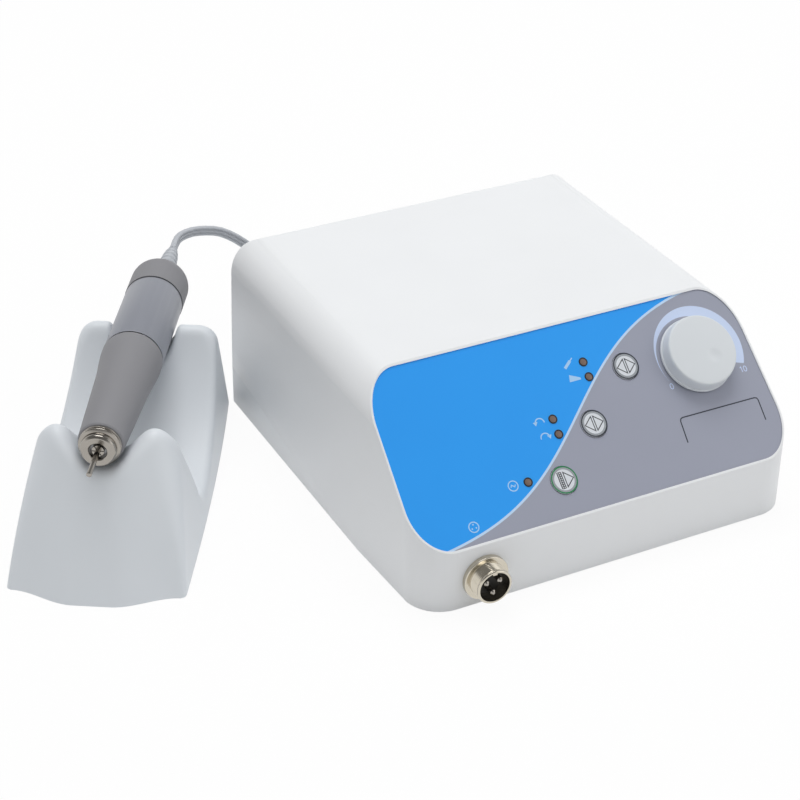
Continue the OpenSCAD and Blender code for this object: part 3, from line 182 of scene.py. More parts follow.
class Finish:
    """One material, or the world: its shader, and the nodes that vary it over the surface."""

    MIX_A, MIX_B, MIX_COLOUR = 6, 7, 2

    def __init__(self, owner):
        """Takes a new material's name, or a world."""
        self.material = bpy.data.materials.new(owner) if isinstance(owner, str) else owner
        self.material.use_nodes = True
        self.tree = self.material.node_tree
        self.shader = self.tree.nodes.get("Principled BSDF")

    def node(self, kind, settings=None, inputs=None, output=0):
        """Adds a node, sets it, feeds its sockets and gives back one of its outputs."""
        made = self.tree.nodes.new(kind)
        for key, value in (settings or {}).items():
            setattr(made, key, value)
        for key, value in (inputs or {}).items():
            self.feed(made.inputs[key], value)
        return Value(self, made.outputs[output])

    def feed(self, socket, value):
        if isinstance(value, Value):
            self.tree.links.new(value.socket, socket)
        elif socket.type == "RGBA":
            socket.default_value = (*value[:3], 1)
        else:
            socket.default_value = value

    def math(self, operation, *values):
        return self.node("ShaderNodeMath", {"operation": operation}, dict(enumerate(values)))

    def place(self):
        """Where a point lies in its piece, in metres."""
        return self.node("ShaderNodeTexCoord", output="Object")

    def along(self, direction, start=(0, 0, 0)):
        """How far a point lies along a direction, in millimetres."""
        moved = self.node("ShaderNodeVectorMath", {"operation": "SUBTRACT"}, {0: self.place(), 1: start})
        way = Vector(direction).normalized()
        reach = self.node("ShaderNodeVectorMath", {"operation": "DOT_PRODUCT"}, {0: moved, 1: way}, "Value")
        return reach / MM

    def distance(self, across, up):
        """Length of a step across and up."""
        return self.math("SQRT", across * across + up * up)

    def noise(self, size, detail=2, roughness=0.5):
        """Cloudy pattern with features of about a size in millimetres."""
        return self.node("ShaderNodeTexNoise", None, {"Vector": self.place(), "Scale": 1 / (size * MM),
                                                      "Detail": detail, "Roughness": roughness})

    def lines(self, direction, size):
        """Fine lines across a direction, as a lathe or an extruder leaves them."""
        return self.node("ShaderNodeTexNoise", {"noise_dimensions": "1D"},
                         {"W": self.along(direction) / size, "Scale": 1, "Detail": 2})

    def mix(self, share, low, high):
        return self.node("ShaderNodeMix", {"data_type": "RGBA"},
                         {0: share, self.MIX_A: low, self.MIX_B: high}, self.MIX_COLOUR)

    def tone(self, share, colour, darker, lighter):
        """A colour that runs from darker to lighter with a share."""
        return self.mix(share, tinted(colour, -darker), tinted(colour, lighter))

    def past(self, value, edge, soft=0.06):
        """1 where a value is past an edge, 0 before it, with a soft step."""
        step = (value - edge) / soft + 0.5
        return self.node("ShaderNodeClamp", None, {"Value": step})

    def bump(self, height, depth):
        """Relief of a depth in millimetres."""
        return self.node("ShaderNodeBump", None, {"Strength": 1, "Distance": depth * MM, "Height": height})

    def shade(self, sockets):
        for name, value in sockets.items():
            self.feed(self.shader.inputs[name], value)
        return self.material


def tinted(colour, share):
    """A colour made lighter or darker by a share."""
    return tuple(min(part * (1 + share), 1) for part in colour)


def moulded(name, colour, roughness=0.45, grain=0.5, relief=0.012, mottle=0.02):
    """Moulded plastic: a fine spark-eroded grain, faint clouding and uneven gloss."""
    finish = Finish(name)
    spark = finish.noise(grain, 2, 0.6)
    cloud = finish.noise(38, 3)
    tone = finish.tone(cloud, colour, mottle, mottle)
    gloss = roughness + (spark - 0.5) * 0.16 + (cloud - 0.5) * 0.1
    return finish.shade({"Base Color": tone, "Roughness": gloss, "Normal": finish.bump(spark, relief)})


def ink(name, colour):
    """Flat printing ink."""
    return moulded(name, colour, 0.5, 0.2, 0.002, 0.05)


def turned_metal(name, colour, axis, roughness=0.2, line=0.12, depth=0.004):
    """Turned and plated metal: fine lines round an axis, with a few dull patches."""
    finish = Finish(name)
    lines = finish.lines(axis, line)
    patch = finish.noise(4, 3)
    tone = finish.tone(patch, colour, 0.06, 0.05)
    gloss = roughness + (lines - 0.5) * 0.14 + patch * 0.06
    return finish.shade({"Base Color": tone, "Metallic": 1, "Roughness": gloss,
                         "Normal": finish.bump(lines, depth)})


def sheet_metal(name, colour, axis, roughness=0.36):
    """Rolled sheet or drawn metal: long brushed lines and handling marks."""
    finish = Finish(name)
    brushed = finish.lines(axis, 0.3)
    marks = finish.noise(9, 5, 0.6)
    tone = finish.tone(marks, colour, 0.12, 0.08)
    gloss = roughness + (brushed - 0.5) * 0.2 + marks * 0.12
    return finish.shade({"Base Color": tone, "Metallic": 1, "Roughness": gloss,
                         "Normal": finish.bump(brushed, 0.006)})


def rubber(name, colour, roughness=0.72):
    """Matt rubber with a dusty bloom."""
    finish = Finish(name)
    dust = finish.noise(3, 5, 0.65)
    pores = finish.noise(0.25, 2)
    tone = finish.tone(dust, colour, 0.15, 0.35)
    return finish.shade({"Base Color": tone, "Roughness": roughness + (dust - 0.5) * 0.2,
                         "Normal": finish.bump(pores, 0.02)})


def circuit_board(name, colour, track):
    """Solder resist over copper tracks that run both ways in steps."""
    finish = Finish(name)
    cells = finish.node("ShaderNodeTexVoronoi", {"distance": "MANHATTAN", "feature": "DISTANCE_TO_EDGE"},
                        {"Vector": finish.place(), "Scale": 1 / (6 * MM)})
    tracks = 1 - finish.past(cells, 0.06, 0.03)
    cloud = finish.noise(12, 3)
    resist = finish.tone(cloud, colour, 0.1, 0.15)
    return finish.shade({"Base Color": finish.mix(tracks, resist, track), "Roughness": 0.34 + cloud * 0.12,
                         "Normal": finish.bump(tracks, 0.03)})


def layered(name, low, high, direction, pitch, metallic, roughness):
    """Stacked sheets or wound layers: lines across a direction at a pitch in millimetres."""
    finish = Finish(name)
    wave = finish.math("SINE", finish.along(direction) * (2 * math.pi / pitch)) * 0.5 + 0.5
    wear = finish.noise(5, 4)
    tone = finish.mix(wave * 0.7 + wear * 0.3, low, high)
    gloss = roughness + (wear - 0.5) * 0.2
    return finish.shade({"Base Color": tone, "Metallic": metallic, "Roughness": gloss,
                         "Normal": finish.bump(wave, 0.08)})


def clear_lens(name, colour):
    """Unlit lens or glass: smoky and glossy, with faint clouds."""
    finish = Finish(name)
    cloud = finish.noise(0.6, 2)
    tone = finish.mix(cloud, tinted(colour, 0.15), tinted(colour, -0.15))
    return finish.shade({"Base Color": tone, "Roughness": 0.3 + cloud * 0.1, "Coat Weight": 0.1})


def printed_film(name, colours):
    """Panel film: two printed fields, the line between them, and the crescent of the speed scale."""
    finish = Finish(name)
    across = finish.along(ACROSS, PANEL_ORIGIN)
    up = finish.along(UPWARD, PANEL_ORIGIN)
    # The fields meet along an S shaped curve, from the lower left corner to the top edge
    curve_middle, curve_rise, curve_run = (-1.3, 43.3), 45.3, 49
    bend = finish.math("TANH", (across - curve_middle[0]) / curve_run)
    slope = (1 - bend * bend) * (curve_rise / curve_run)
    above = up - (bend * curve_rise + curve_middle[1])
    above = above / finish.math("SQRT", slope * slope + 1)
    line_half = 0.5
    blue = finish.past(above, 0)
    line = finish.past(line_half - finish.math("ABSOLUTE", above), 0)
    # The crescent lies between two circles and ends in a slanting line on the right
    outer_at, outer_r, inner_r = (66, 55.3), 21.8, 18.8
    left_end, right_end, right_slant = 46, (83.9, 45.4), 0.33
    outer = finish.distance(across - outer_at[0], up - outer_at[1])
    inner = finish.distance(across - KNOB_AT[0], up - KNOB_AT[1])
    left = finish.past(KNOB_AT[0] - across, 0) * finish.past(up, left_end)
    slanted = up + (across - right_end[0]) * right_slant
    right = finish.past(across, KNOB_AT[0]) * finish.past(slanted, right_end[1])
    between = finish.past(outer_r - outer, 0) * finish.past(inner, inner_r)
    crescent = between * finish.math("MAXIMUM", left, right)
    cloud = finish.noise(30, 3)
    grey = finish.tone(cloud, colours.film_grey, 0.03, 0.03)
    blues = finish.tone(cloud, colours.film_blue, 0.03, 0.03)
    tone = finish.mix(blue, grey, blues)
    tone = finish.mix(crescent, tone, colours.film_scale)
    tone = finish.mix(line, tone, colours.film_line)
    grain = finish.noise(0.18, 2)
    return finish.shade({"Base Color": tone, "Roughness": 0.46 + (grain - 0.5) * 0.1 + (cloud - 0.5) * 0.06,
                         "Normal": finish.bump(grain, 0.004)})


def ribbed_cord(name, colour):
    """Soft cord jacket: faint extrusion streaks and dust."""
    finish = Finish(name)
    streak = finish.noise(1.1, 4, 0.6)
    dust = finish.noise(14, 4)
    tone = finish.tone(streak * 0.5 + dust * 0.5, colour, 0.08, 0.08)
    return finish.shade({"Base Color": tone, "Roughness": 0.5 + (streak - 0.5) * 0.14,
                         "Normal": finish.bump(streak, 0.02)})


# For each slot what makes its finish, its colour as a screen shows it or by its name among the colours
# that a user can change, and what else the maker takes
FINISHES = {
    "case_white": (moulded, "case"),
    "stand_white": (moulded, "stand"),
    "knob_grey": (moulded, "knob", 0.42, 0.3),
    "key_pale": (moulded, "key", 0.4, 0.2, 0.006),
    "lamp_lens": (clear_lens, "lamp"),
    "steel": (sheet_metal, (190, 192, 196), ACROSS),
    "nickel": (turned_metal, "nickel", TAILWARD, 0.16),
    "warm_nickel": (turned_metal, "socket", (0, 1, 0), 0.17),
    "black_plastic": (moulded, (34, 34, 36), 0.4, 0.3),
    "board_green": (circuit_board, (18, 84, 52), from_screen(46, 128, 76)),
    "brass": (turned_metal, (214, 176, 98), (0, 1, 0), 0.25),
    "copper": (layered, (140, 74, 40), from_screen(206, 122, 70), (0, 0, 1), 0.9, 0.9, 0.36),
    "aluminium": (sheet_metal, (206, 208, 210), (0, 0, 1), 0.42),
    "iron": (layered, (58, 60, 62), from_screen(104, 106, 108), (0, 1, 0), 1, 0.7, 0.5),
    "capacitor_sleeve": (moulded, (24, 34, 72), 0.3, 0.8, 0.02),
    "rubber_dark": (rubber, (44, 44, 46)),
    "grip_grey": (moulded, "grip", 0.62, 0.28, 0.02, 0.04),
    "sleeve_grey": (moulded, "sleeve", 0.36, 0.3, 0.008, 0.03),
    "cord_grey": (ribbed_cord, "cord"),
    "carbon": (rubber, (30, 30, 32), 0.5),
    "fuse_glass": (clear_lens, (196, 204, 206)),
    "tie_grey": (rubber, (70, 72, 76)),
}


def finish_for(slot, colours):
    """The material of a slot, made once."""
    name = f"{slot}_finish"
    made = bpy.data.materials.get(name)
    if made:
        return made
    if slot == "panel_print":
        return printed_film(name, colours)
    maker, colour, *rest = FINISHES[slot]
    shown = getattr(colours, colour) if isinstance(colour, str) else from_screen(*colour)
    return maker(name, shown, *rest)


def dress(piece, body, slot, colours, replaced=()):
    """Gives a piece its finish and its body, and hides the nodes that it stands for."""
    piece.data.materials.clear()
    piece.data.materials.append(finish_for(slot, colours))
    if body:
        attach(piece, body)
    if replaced:
        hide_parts(*replaced)
    return piece


def new_piece(name, vertices, faces, sharp=35):
    """A piece of mesh with even normals, sharp where its faces meet at more than an angle in degrees."""
    mesh = bpy.data.meshes.new(name)
    mesh.from_pydata([tuple(vertex) for vertex in vertices], [], faces)
    shape = bmesh.new()
    shape.from_mesh(mesh)
    bmesh.ops.recalc_face_normals(shape, faces=shape.faces)
    shape.to_mesh(mesh)
    shape.free()
    mesh.shade_smooth()
    mesh.set_sharp_from_angle(angle=math.radians(sharp))
    piece = bpy.data.objects.new(name, mesh)
    bpy.context.scene.collection.objects.link(piece)
    return piece


def join_rings(ring, after):
    """Faces between two rings of vertices; a ring of one vertex is a point."""
    count = max(len(ring), len(after))
    faces = []
    for step in range(count):
        ahead = (step + 1) % count
        near, far = [(row[step % len(row)], row[ahead % len(row)]) for row in (ring, after)]
        faces.append(list(dict.fromkeys((*near, *reversed(far)))))
    return faces


def rounded(points, steps=5):
    """Rounds the corners of a profile: a third number is how far from the corner its curve starts."""
    smooth = []
    for index, point in enumerate(points):
        here = Vector(point[:2])
        if len(point) == 2 or index in (0, len(points) - 1):
            smooth.append(here)
            continue
        arms = [Vector(points[index + side][:2]) - here for side in (-1, 1)]
        start, end = [here + arm.normalized() * min(point[2], arm.length * 0.48) for arm in arms]
        for step in range(steps + 1):
            share = step / steps
            smooth.append(start * (1 - share) ** 2 + here * (2 * share * (1 - share)) + end * share ** 2)
    return [tuple(point) for point in smooth]


def lathe(name, profile, place, turns=96, closed=False, relief=None, sharp=35):
    """Turns a profile of radius and distance along the axis, both in millimetres, about a place's z axis.
    A relief gives what is added to the radius, or to the distance, at an angle."""
    vertices = []
    rings = []
    for radius, along in profile:
        count = turns if radius > 0 else 1
        rings.append(range(len(vertices), len(vertices) + count))
        for step in range(count):
            angle = 2 * math.pi * step / turns
            out, lift = relief(radius, along, angle) if relief else (0, 0)
            point = Vector(((radius + out) * math.cos(angle), (radius + out) * math.sin(angle), along + lift))
            vertices.append(place @ (point * MM))
    faces = []
    for ring, after in zip(rings, rings[1:] + rings[:1] if closed else rings[1:]):
        faces += join_rings(ring, after)
    return new_piece(name, vertices, faces, sharp)


def frame_matrix(origin, right, axis):
    """Place with its z axis along an axis and its x axis to the right."""
    across = Vector(axis).cross(right)
    matrix = Matrix((right, across, axis)).transposed().to_4x4()
    matrix.translation = origin
    return matrix


def panel_place(across, up, out):
    """A point of the panel, given in millimetres."""
    return PANEL_ORIGIN + MM * (across * ACROSS + up * UPWARD + out * OUTWARD)


def on_circle(centre, radius, degrees):
    """The point of a circle at an angle."""
    turn = math.radians(degrees)
    return (centre[0] + radius * math.cos(turn), centre[1] + radius * math.sin(turn))


HAND = frame_matrix(NOSE, HAND_SIDE, TAILWARD)


class Marks:
    """Printed marks on a surface, each a thin tile."""

    def __init__(self, place, low, high):
        self.place = place
        self.low = low
        self.high = high
        self.vertices = []
        self.faces = []

    def layer(self, points, level):
        start = len(self.vertices)
        self.vertices += [self.place(across, up, level) for across, up in points]
        return range(start, len(self.vertices))

    def tile(self, outline):
        """A filled shape."""
        low = self.layer(outline, self.low)
        high = self.layer(outline, self.high)
        self.faces += [list(reversed(low)), list(high)]
        self.faces += join_rings(low, high)

    def stroke(self, points, width, closed=False):
        """A line of a width through points."""
        points = [Vector(point) for point in points]
        count = len(points)
        sides = ([], [])
        for index, point in enumerate(points):
            before = points[index - 1] if closed or index else point
            after = points[(index + 1) % count] if closed or index < count - 1 else point
            ways = [way.normalized() for way in (point - before, after - point) if way.length > 0]
            normals = [Vector((-way.y, way.x)) for way in ways]
            bisector = sum(normals, Vector((0, 0))).normalized()
            reach = width / 2 / max(bisector.dot(normals[0]), 0.35)
            sides[0].append(point + bisector * reach)
            sides[1].append(point - bisector * reach)
        rings = [self.layer(side, level) for side in sides for level in (self.low, self.high)]
        left_low, left_high, right_low, right_high = rings
        for index in range(count if closed else count - 1):
            ahead = (index + 1) % count
            loop = [(ring[index], ring[ahead]) for ring in (left_low, left_high, right_high, right_low)]
            for (near, far), (next_near, next_far) in zip(loop, loop[1:] + loop[:1]):
                self.faces.append([near, far, next_far, next_near])
        if not closed:
            for index in (0, count - 1):
                self.faces.append([left_low[index], left_high[index], right_high[index], right_low[index]])

    def arc(self, centre, radius, start, end, width, steps=24):
        """Part of a circle between two angles in degrees."""
        whole = abs(end - start) >= 360
        count = steps if whole else steps + 1
        points = [on_circle(centre, radius, start + (end - start) * step / steps) for step in range(count)]
        self.stroke(points, width, whole)
        return points

    def disc(self, centre, radius, steps=24):
        self.tile([on_circle(centre, radius, 360 * step / steps) for step in range(steps)])

    def piece(self, name):
        return new_piece(name, self.vertices, self.faces)


def smooth_path(points, steps):
    """A curve through points, with straight ends, cut into steps between them."""
    ends = [points[0] * 2 - points[1], *points, points[-1] * 2 - points[-2]]
    path = []
    for before, start, end, after in zip(ends, ends[1:], ends[2:], ends[3:]):
        for step in range(steps):
            share = step / steps
            path.append(0.5 * (2 * start + (end - before) * share
                               + (2 * before - 5 * start + 4 * end - after) * share ** 2
                               + (3 * start - before - 3 * end + after) * share ** 3))
    return path + [points[-1]]


def soften(node, width):
    """Breaks the sharp edges of a node."""
    weld = node.modifiers.new("Join", "WELD")
    weld.merge_threshold = 0.002 * MM
    bevel = node.modifiers.new("Edges", "BEVEL")
    bevel.width = width
    bevel.segments = 3
    bevel.limit_method = "ANGLE"
    bevel.angle_limit = math.radians(40)
    bevel.harden_normals = True


class GRINDER_OT_stage(Operator):
    """Camera, table, lamps and surroundings"""

    bl_idname = "grinder.stage"
    bl_label = "Stage"

    CAMERA_AT = (-0.32859, -0.699504, 0.509383)
    # Turn from straight ahead, tilt down and roll, in degrees
    CAMERA_TURN, CAMERA_TILT, CAMERA_ROLL = 27.22, 31.621, -0.428
    FOCAL_PIXELS, PICTURE_PIXELS, SENSOR = 2003.437, 800, 36
    FLOOR_HALF = 4
    FLOOR_WHITE = 0.93
    # Strength of the surroundings near the horizon and overhead
    SKY_LOW, SKY_HIGH = 0.22, 0.62
    # How bright the ceiling looks in metal
    CEILING = 0.22
    # Upward share of a direction at which the surroundings and the ceiling change, and over how much
    SKY_TURN, CEILING_TURN = (0.45, 0.7), (0.4, 0.3)
    # Name, power in watts, size and place of the lamps
    LAMPS = (("overhead_lamp", 12.2, 1.0, (0.1, 0.36, 1.6)), ("fill_lamp", 3.3, 1.0, (1.2, -0.85, 0.85)))

    def execute(self, context):
        scene = context.scene
        scene.view_settings.view_transform = "Standard"
        self.add_camera(scene)
        self.add_floor(scene)
        self.add_lamps(scene)
        self.add_sky(scene)
        return {"FINISHED"}

    def add_camera(self, scene):
        camera = bpy.data.cameras.new("photo_camera")
        camera.sensor_width = self.SENSOR
        camera.lens = self.FOCAL_PIXELS / self.PICTURE_PIXELS * self.SENSOR
        camera.clip_end = 50
        holder = bpy.data.objects.new("photo_camera", camera)
        scene.collection.objects.link(holder)
        turn = Matrix.Rotation(math.radians(-self.CAMERA_TURN), 4, "Z")
        tilt = Matrix.Rotation(math.radians(90 - self.CAMERA_TILT), 4, "X")
        roll = Matrix.Rotation(math.radians(-self.CAMERA_ROLL), 4, "Z")
        holder.matrix_world = Matrix.Translation(self.CAMERA_AT) @ turn @ tilt @ roll
        scene.camera = holder

    def seen_rays(self, finish):
        """1 for what the camera sees, straight or by way of metal and glass."""
        rays = [finish.node("ShaderNodeLightPath", output=name)
                for name in ("Is Camera Ray", "Is Glossy Ray", "Is Transmission Ray")]
        return finish.math("MAXIMUM", finish.math("MAXIMUM", rays[0], rays[1]), rays[2])

    def add_floor(self, scene):
        half = self.FLOOR_HALF
        corners = [(-half, -half, 0), (half, -half, 0), (half, half, 0), (-half, half, 0)]
        floor = new_piece("table_top", corners, [(0, 1, 2, 3)])
        finish = Finish("table_white")
        colour = scene.grinder_colours.floor
        finish.shade({"Base Color": colour, "Roughness": 0.9, "Specular IOR Level": 0.1})
        glow = finish.node("ShaderNodeEmission", None, {"Color": (1, 1, 1), "Strength": 1})
        plain = Value(finish, finish.shader.outputs[0])
        white = self.seen_rays(finish) * self.FLOOR_WHITE
        mixed = finish.node("ShaderNodeMixShader", None, {0: white, 1: plain, 2: glow})
        finish.feed(finish.tree.nodes["Material Output"].inputs["Surface"], mixed)
        floor.data.materials.append(finish.material)

    def add_lamps(self, scene):
        for name, power, size, place in self.LAMPS:
            lamp = bpy.data.lights.new(name, "AREA")
            lamp.energy = power
            lamp.size = size
            holder = bpy.data.objects.new(name, lamp)
            holder.location = place
            holder.rotation_euler = (-Vector(place)).to_track_quat("-Z", "Y").to_euler()
            scene.collection.objects.link(holder)

    def add_sky(self, scene):
        world = bpy.data.worlds.new("soft_surroundings")
        scene.world = world
        sky = Finish(world)
        background = sky.tree.nodes["Background"]
        sky.feed(background.inputs["Color"], (1, 1, 1))
        way = sky.node("ShaderNodeTexCoord", output="Generated")
        lift = sky.node("ShaderNodeSeparateXYZ", None, {0: way}, "Z")
        high = sky.past(lift, *self.SKY_TURN)
        light = high * (self.SKY_HIGH - self.SKY_LOW) + self.SKY_LOW
        seen = self.seen_rays(sky)
        shown = 1 - sky.past(lift, *self.CEILING_TURN) * (1 - self.CEILING)
        sky.feed(background.inputs["Strength"], seen * shown + (1 - seen) * light)


class GRINDER_OT_cord(Operator):
    """Motor cord: flat, ribbed, from the boot down behind the case into a tied coil"""

    bl_idname = "grinder.cord"
    bl_label = "Motor cord"

    # Route in millimetres: the free stretch, then the coil and its tail
    LEAD = ((-22.5, 139, 55.3), (-18.5, 143, 55.4), (-11.5, 145.5, 55.2), (-3.5, 146.5, 53.7),
            (4.5, 147.5, 50.7), (12.5, 147.5, 45.3), (19.5, 147, 39), (27, 146, 32), (34.5, 144.5, 25),
            (42, 143, 18), (49.5, 141.5, 12), (57, 141, 7.5), (65, 141, 4.5))
    COIL_AT, COIL_OUTER, COIL_PITCH, COIL_LAYER, COIL_LOW = (95, 117), 33.5, 3.4, 5.6, 3.3
    COIL_START, COIL_RUN, COIL_CLIMB, COIL_STEPS = 120, 1185, 180, 24
    TAIL = ((100, 150.5, 8.9), (107, 150.5, 9.4), (112, 150.5, 9.4))
    PATH_STEPS = 2
    # Half thickness of the cord between its cores and at its outer edges, as shares
    LOBE_STEPS, LOBE_WAIST, LOBE_EDGE = 7, 0.58, 0.12
    PLUG = ("plug_boot", "plug_shell", "plug_nut", "plug_insert", "coil_tie")

    def coil(self):
        """Points of the coil: in along the table, up one layer, and out again on top."""
        total = 2 * self.COIL_RUN + self.COIL_CLIMB
        count = math.ceil(total / 360 * self.COIL_STEPS)
        points = []
        for step in range(count + 1):
            turned = total * step / count
            climbed = min(max((turned - self.COIL_RUN) / self.COIL_CLIMB, 0), 1)
            depth = min(turned, self.COIL_RUN, total - turned)
            radius = self.COIL_OUTER - self.COIL_PITCH * depth / 360
            height = self.COIL_LOW + self.COIL_LAYER * climbed * climbed * (3 - 2 * climbed)
            points.append((*on_circle(self.COIL_AT, radius, self.COIL_START - turned), height))
        return points

    def section(self, sizes):
        """Outline of the cord, thickness and width, with one lobe for each core."""
        lobe = sizes.cord_width / sizes.cord_cores
        side = []
        for core in range(sizes.cord_cores):
            for step in range(self.LOBE_STEPS + 1):
                share = 2 * step / self.LOBE_STEPS - 1
                outer_end = (core == 0 and share < 0) or (core == sizes.cord_cores - 1 and share > 0)
                bulge = math.sqrt(max(1 - share * share, 0))
                half = max(bulge, self.LOBE_EDGE if outer_end else self.LOBE_WAIST)
                up = (core + (share + 1) / 2) * lobe - sizes.cord_width / 2
                if step or core == 0:
                    side.append((half * sizes.cord_thickness / 2, up))
        return side + [(-half, up) for half, up in reversed(side)]

    def execute(self, context):
        sizes = context.scene.grinder_sizes
        leave = NOSE + TAILWARD * RELIEF_END * MM
        route = [leave, leave + TAILWARD * sizes.cord_width]
        route += [Vector(point) * MM for point in (*self.LEAD, *self.coil(), *self.TAIL)]
        path = smooth_path(route, self.PATH_STEPS)
        section = self.section(sizes)
        vertices = []
        rings = []
        for index, point in enumerate(path):
            way = (path[min(index + 1, len(path) - 1)] - path[max(index - 1, 0)]).normalized()
            across = way.cross(Vector((0, 0, 1))).normalized()
            up = across.cross(way)
            rings.append(range(len(vertices), len(vertices) + len(section)))
            vertices += [point + across * half + up * lift for half, lift in section]
        faces = [list(rings[0]), list(rings[-1])]
        for ring, after in zip(rings, rings[1:]):
            faces += join_rings(ring, after)
        cord = new_piece("motor_cord", vertices, faces, 60)
        dress(cord, None, "cord_grey", context.scene.grinder_colours, ("cord_lead", "cord_coil"))
        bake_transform(cord)
        return {"FINISHED"}


class GRINDER_OT_stand(Operator):
    """Handpiece stand: a moulded shell with two soft horns, a hollow seat and a notched upright"""

    bl_idname = "grinder.stand"
    bl_label = "Stand"

    # Sizes in millimetres: across the stand, along it from front to back, and up
    LENGTH, HALF, HALF_LOSS, LOSS_FROM, NOSE_Y = 160, 38.2, 5.4, 30, 23.8
    # Front: a cone above, and at the foot a bulge that dies out before the corners
    FRONT_R, FRONT_BULGE, FRONT_RAKE, FRONT_TURN = 91.9, 8, 0.68, 40
    FOOT_BULGE, FOOT_FLAT, FOOT_END = 8.6, 0.2, 0.96
    HORN_Y, HORN_H, HORN_SLOPE, HORN_LEAN, HORN_SWELL = 39, 73, 3.6, 0.2, 2
    SADDLE_LOW, SADDLE_R, SADDLE_TURN = 44.2, 13.5, 50
    # The saddle rises towards its lip, as the grip tapers
    LIP_RISE, LIP_FROM, LIP_RUN = 1, 46, 28
    SEAT_Y, SEAT_Z, SEAT_R = 50, 99.4, 88.4
    UPRIGHT_H, UPRIGHT_LEAN, UPRIGHT_SHIFT, BACK_SLOPE = 61.2, 3.9, 1.9, 2.09
    BACK_FROM, BACK_TO = 46, 66
    NOTCH_LOW, NOTCH_R = 41.3, 14.6
    SOFT_TOP, SOFT_SADDLE, SOFT_NOTCH, SOFT_SEAT = 8, 6, 3, 8
    # The outer edges are softer higher up
    SOFT_EDGE, SOFT_FOOT, SOFT_LIP = 9, 3, 4
    EDGE_HEIGHTS, LIP_HEIGHTS = (5, 50), (46, 60)
    # Rays that find the skin start below the table
    DEEP, RAYS, SLICES, HALVINGS, BOW_FADE, TRIM = 60, 160, 200, 24, 60, 0.05

    def soft_min(self, first, second, soft):
        """The lower of two numbers, with a soft change from one to the other."""
        near = np.maximum(soft - np.abs(first - second), 0) / soft
        return np.minimum(first, second) - near * near * soft / 4

    def ease(self, value, low, high):
        """Rises softly from 0 to 1 between two values."""
        share = np.clip((value - low) / (high - low), 0, 1)
        return share * share * (3 - 2 * share)

    def trough(self, across, up, low):
        """How far a point lies below the saddle, a round trough with straight flanks."""
        edge = self.SADDLE_R * math.sin(math.radians(self.SADDLE_TURN))
        side = np.abs(across)
        round_side = np.minimum(side, edge)
        drop = np.sqrt(self.SADDLE_R ** 2 - round_side * round_side)
        slope = round_side / drop
        height = self.SADDLE_R - drop + (side - round_side) * slope
        return (low + height - up) / np.hypot(1, slope)

    def foot_bulge(self, across):
        """How far the front's foot stands out."""
        share = (np.abs(across) / self.HALF - self.FOOT_FLAT) / (self.FOOT_END - self.FOOT_FLAT)
        return self.FOOT_BULGE * (1 + np.cos(math.pi * np.clip(share, 0, 1))) / 2

    def half_width(self, along):
        taper = np.maximum(along - self.LOSS_FROM, 0) / (self.LENGTH - self.LOSS_FROM)
        return self.HALF - self.HALF_LOSS * taper * taper

    def walls(self, across, along, up):
        """How far a point lies inside the sides and the front."""
        back = self.ease(along, self.BACK_FROM, self.BACK_TO)
        swell = self.HORN_SWELL * np.sin(math.pi * np.clip(up / self.HORN_H, 0, 1))
        rise = np.maximum(up / self.UPRIGHT_H, 0)
        lean = (self.HORN_LEAN * up - swell) * (1 - back) + self.UPRIGHT_LEAN * rise * back
        side = self.half_width(along) - lean - np.abs(across - self.UPRIGHT_SHIFT * back * rise)
        low = self.FRONT_RAKE * up - self.foot_bulge(across)
        cone = self.FRONT_R - self.FRONT_RAKE * up
        high = self.FRONT_R - self.FRONT_BULGE - np.sqrt(np.maximum(cone * cone - across * across, 1))
        front = along - low - (high - low) * self.ease(up, 0, self.FRONT_TURN)
        edge = self.SOFT_FOOT + (self.SOFT_EDGE - self.SOFT_FOOT) * self.ease(up, *self.EDGE_HEIGHTS)
        return self.soft_min(side, front / math.hypot(1, self.FRONT_RAKE), edge)

    def inside(self, across, along, up):
        """About how far a point lies inside the stand."""
        rear = ((self.HORN_Y - along) * self.HORN_SLOPE + self.HORN_H - up) / math.hypot(1, self.HORN_SLOPE)
        lip = self.LIP_RISE * (np.maximum(self.LIP_FROM - along, 0) / self.LIP_RUN) ** 2
        saddle = self.trough(across, up, self.SADDLE_LOW + lip)
        horn = self.soft_min(rear, self.HORN_H - up, self.SOFT_EDGE)
        horn = self.soft_min(horn, saddle, self.SOFT_SADDLE)
        seat = np.hypot(along - self.SEAT_Y, up - self.SEAT_Z) - self.SEAT_R
        slope = ((self.LENGTH - along) * self.BACK_SLOPE - up) / math.hypot(1, self.BACK_SLOPE)
        notch = np.hypot(across, np.minimum(up - self.NOTCH_LOW - self.NOTCH_R, 0)) - self.NOTCH_R
        rest = self.soft_min(seat, slope, self.SOFT_TOP)
        rest = self.soft_min(rest, self.UPRIGHT_H - up, self.SOFT_TOP)
        rest = self.soft_min(rest, notch, self.SOFT_NOTCH)
        whole = -self.soft_min(-horn, -rest, self.SOFT_SEAT)
        soft = self.SOFT_LIP + (self.SOFT_EDGE - self.SOFT_LIP) * self.ease(up, *self.LIP_HEIGHTS)
        return self.soft_min(whole, self.walls(across, along, up), soft)

    def slice_points(self, along, reach, turn):
        """Points on rays from below the table, in slices that follow the bowed front."""
        across = reach * np.sin(turn)
        bow = self.foot_bulge(across) * np.maximum(1 - along / self.BOW_FADE, 0)
        return across, along - bow, reach * np.cos(turn) - self.DEEP

    def cross(self, low, high, place):
        """Halves the stretch between an inner and an outer number until it meets the skin."""
        for _ in range(self.HALVINGS):
            middle = (low + high) / 2
            within = self.inside(*place(middle)) > 0
            low = np.where(within, middle, low)
            high = np.where(within, high, middle)
        return low

    def skin(self):
        """Where the rays leave the stand, slice by slice."""
        along = np.linspace(self.TRIM, self.LENGTH - self.TRIM, self.SLICES + 1)[:, None]

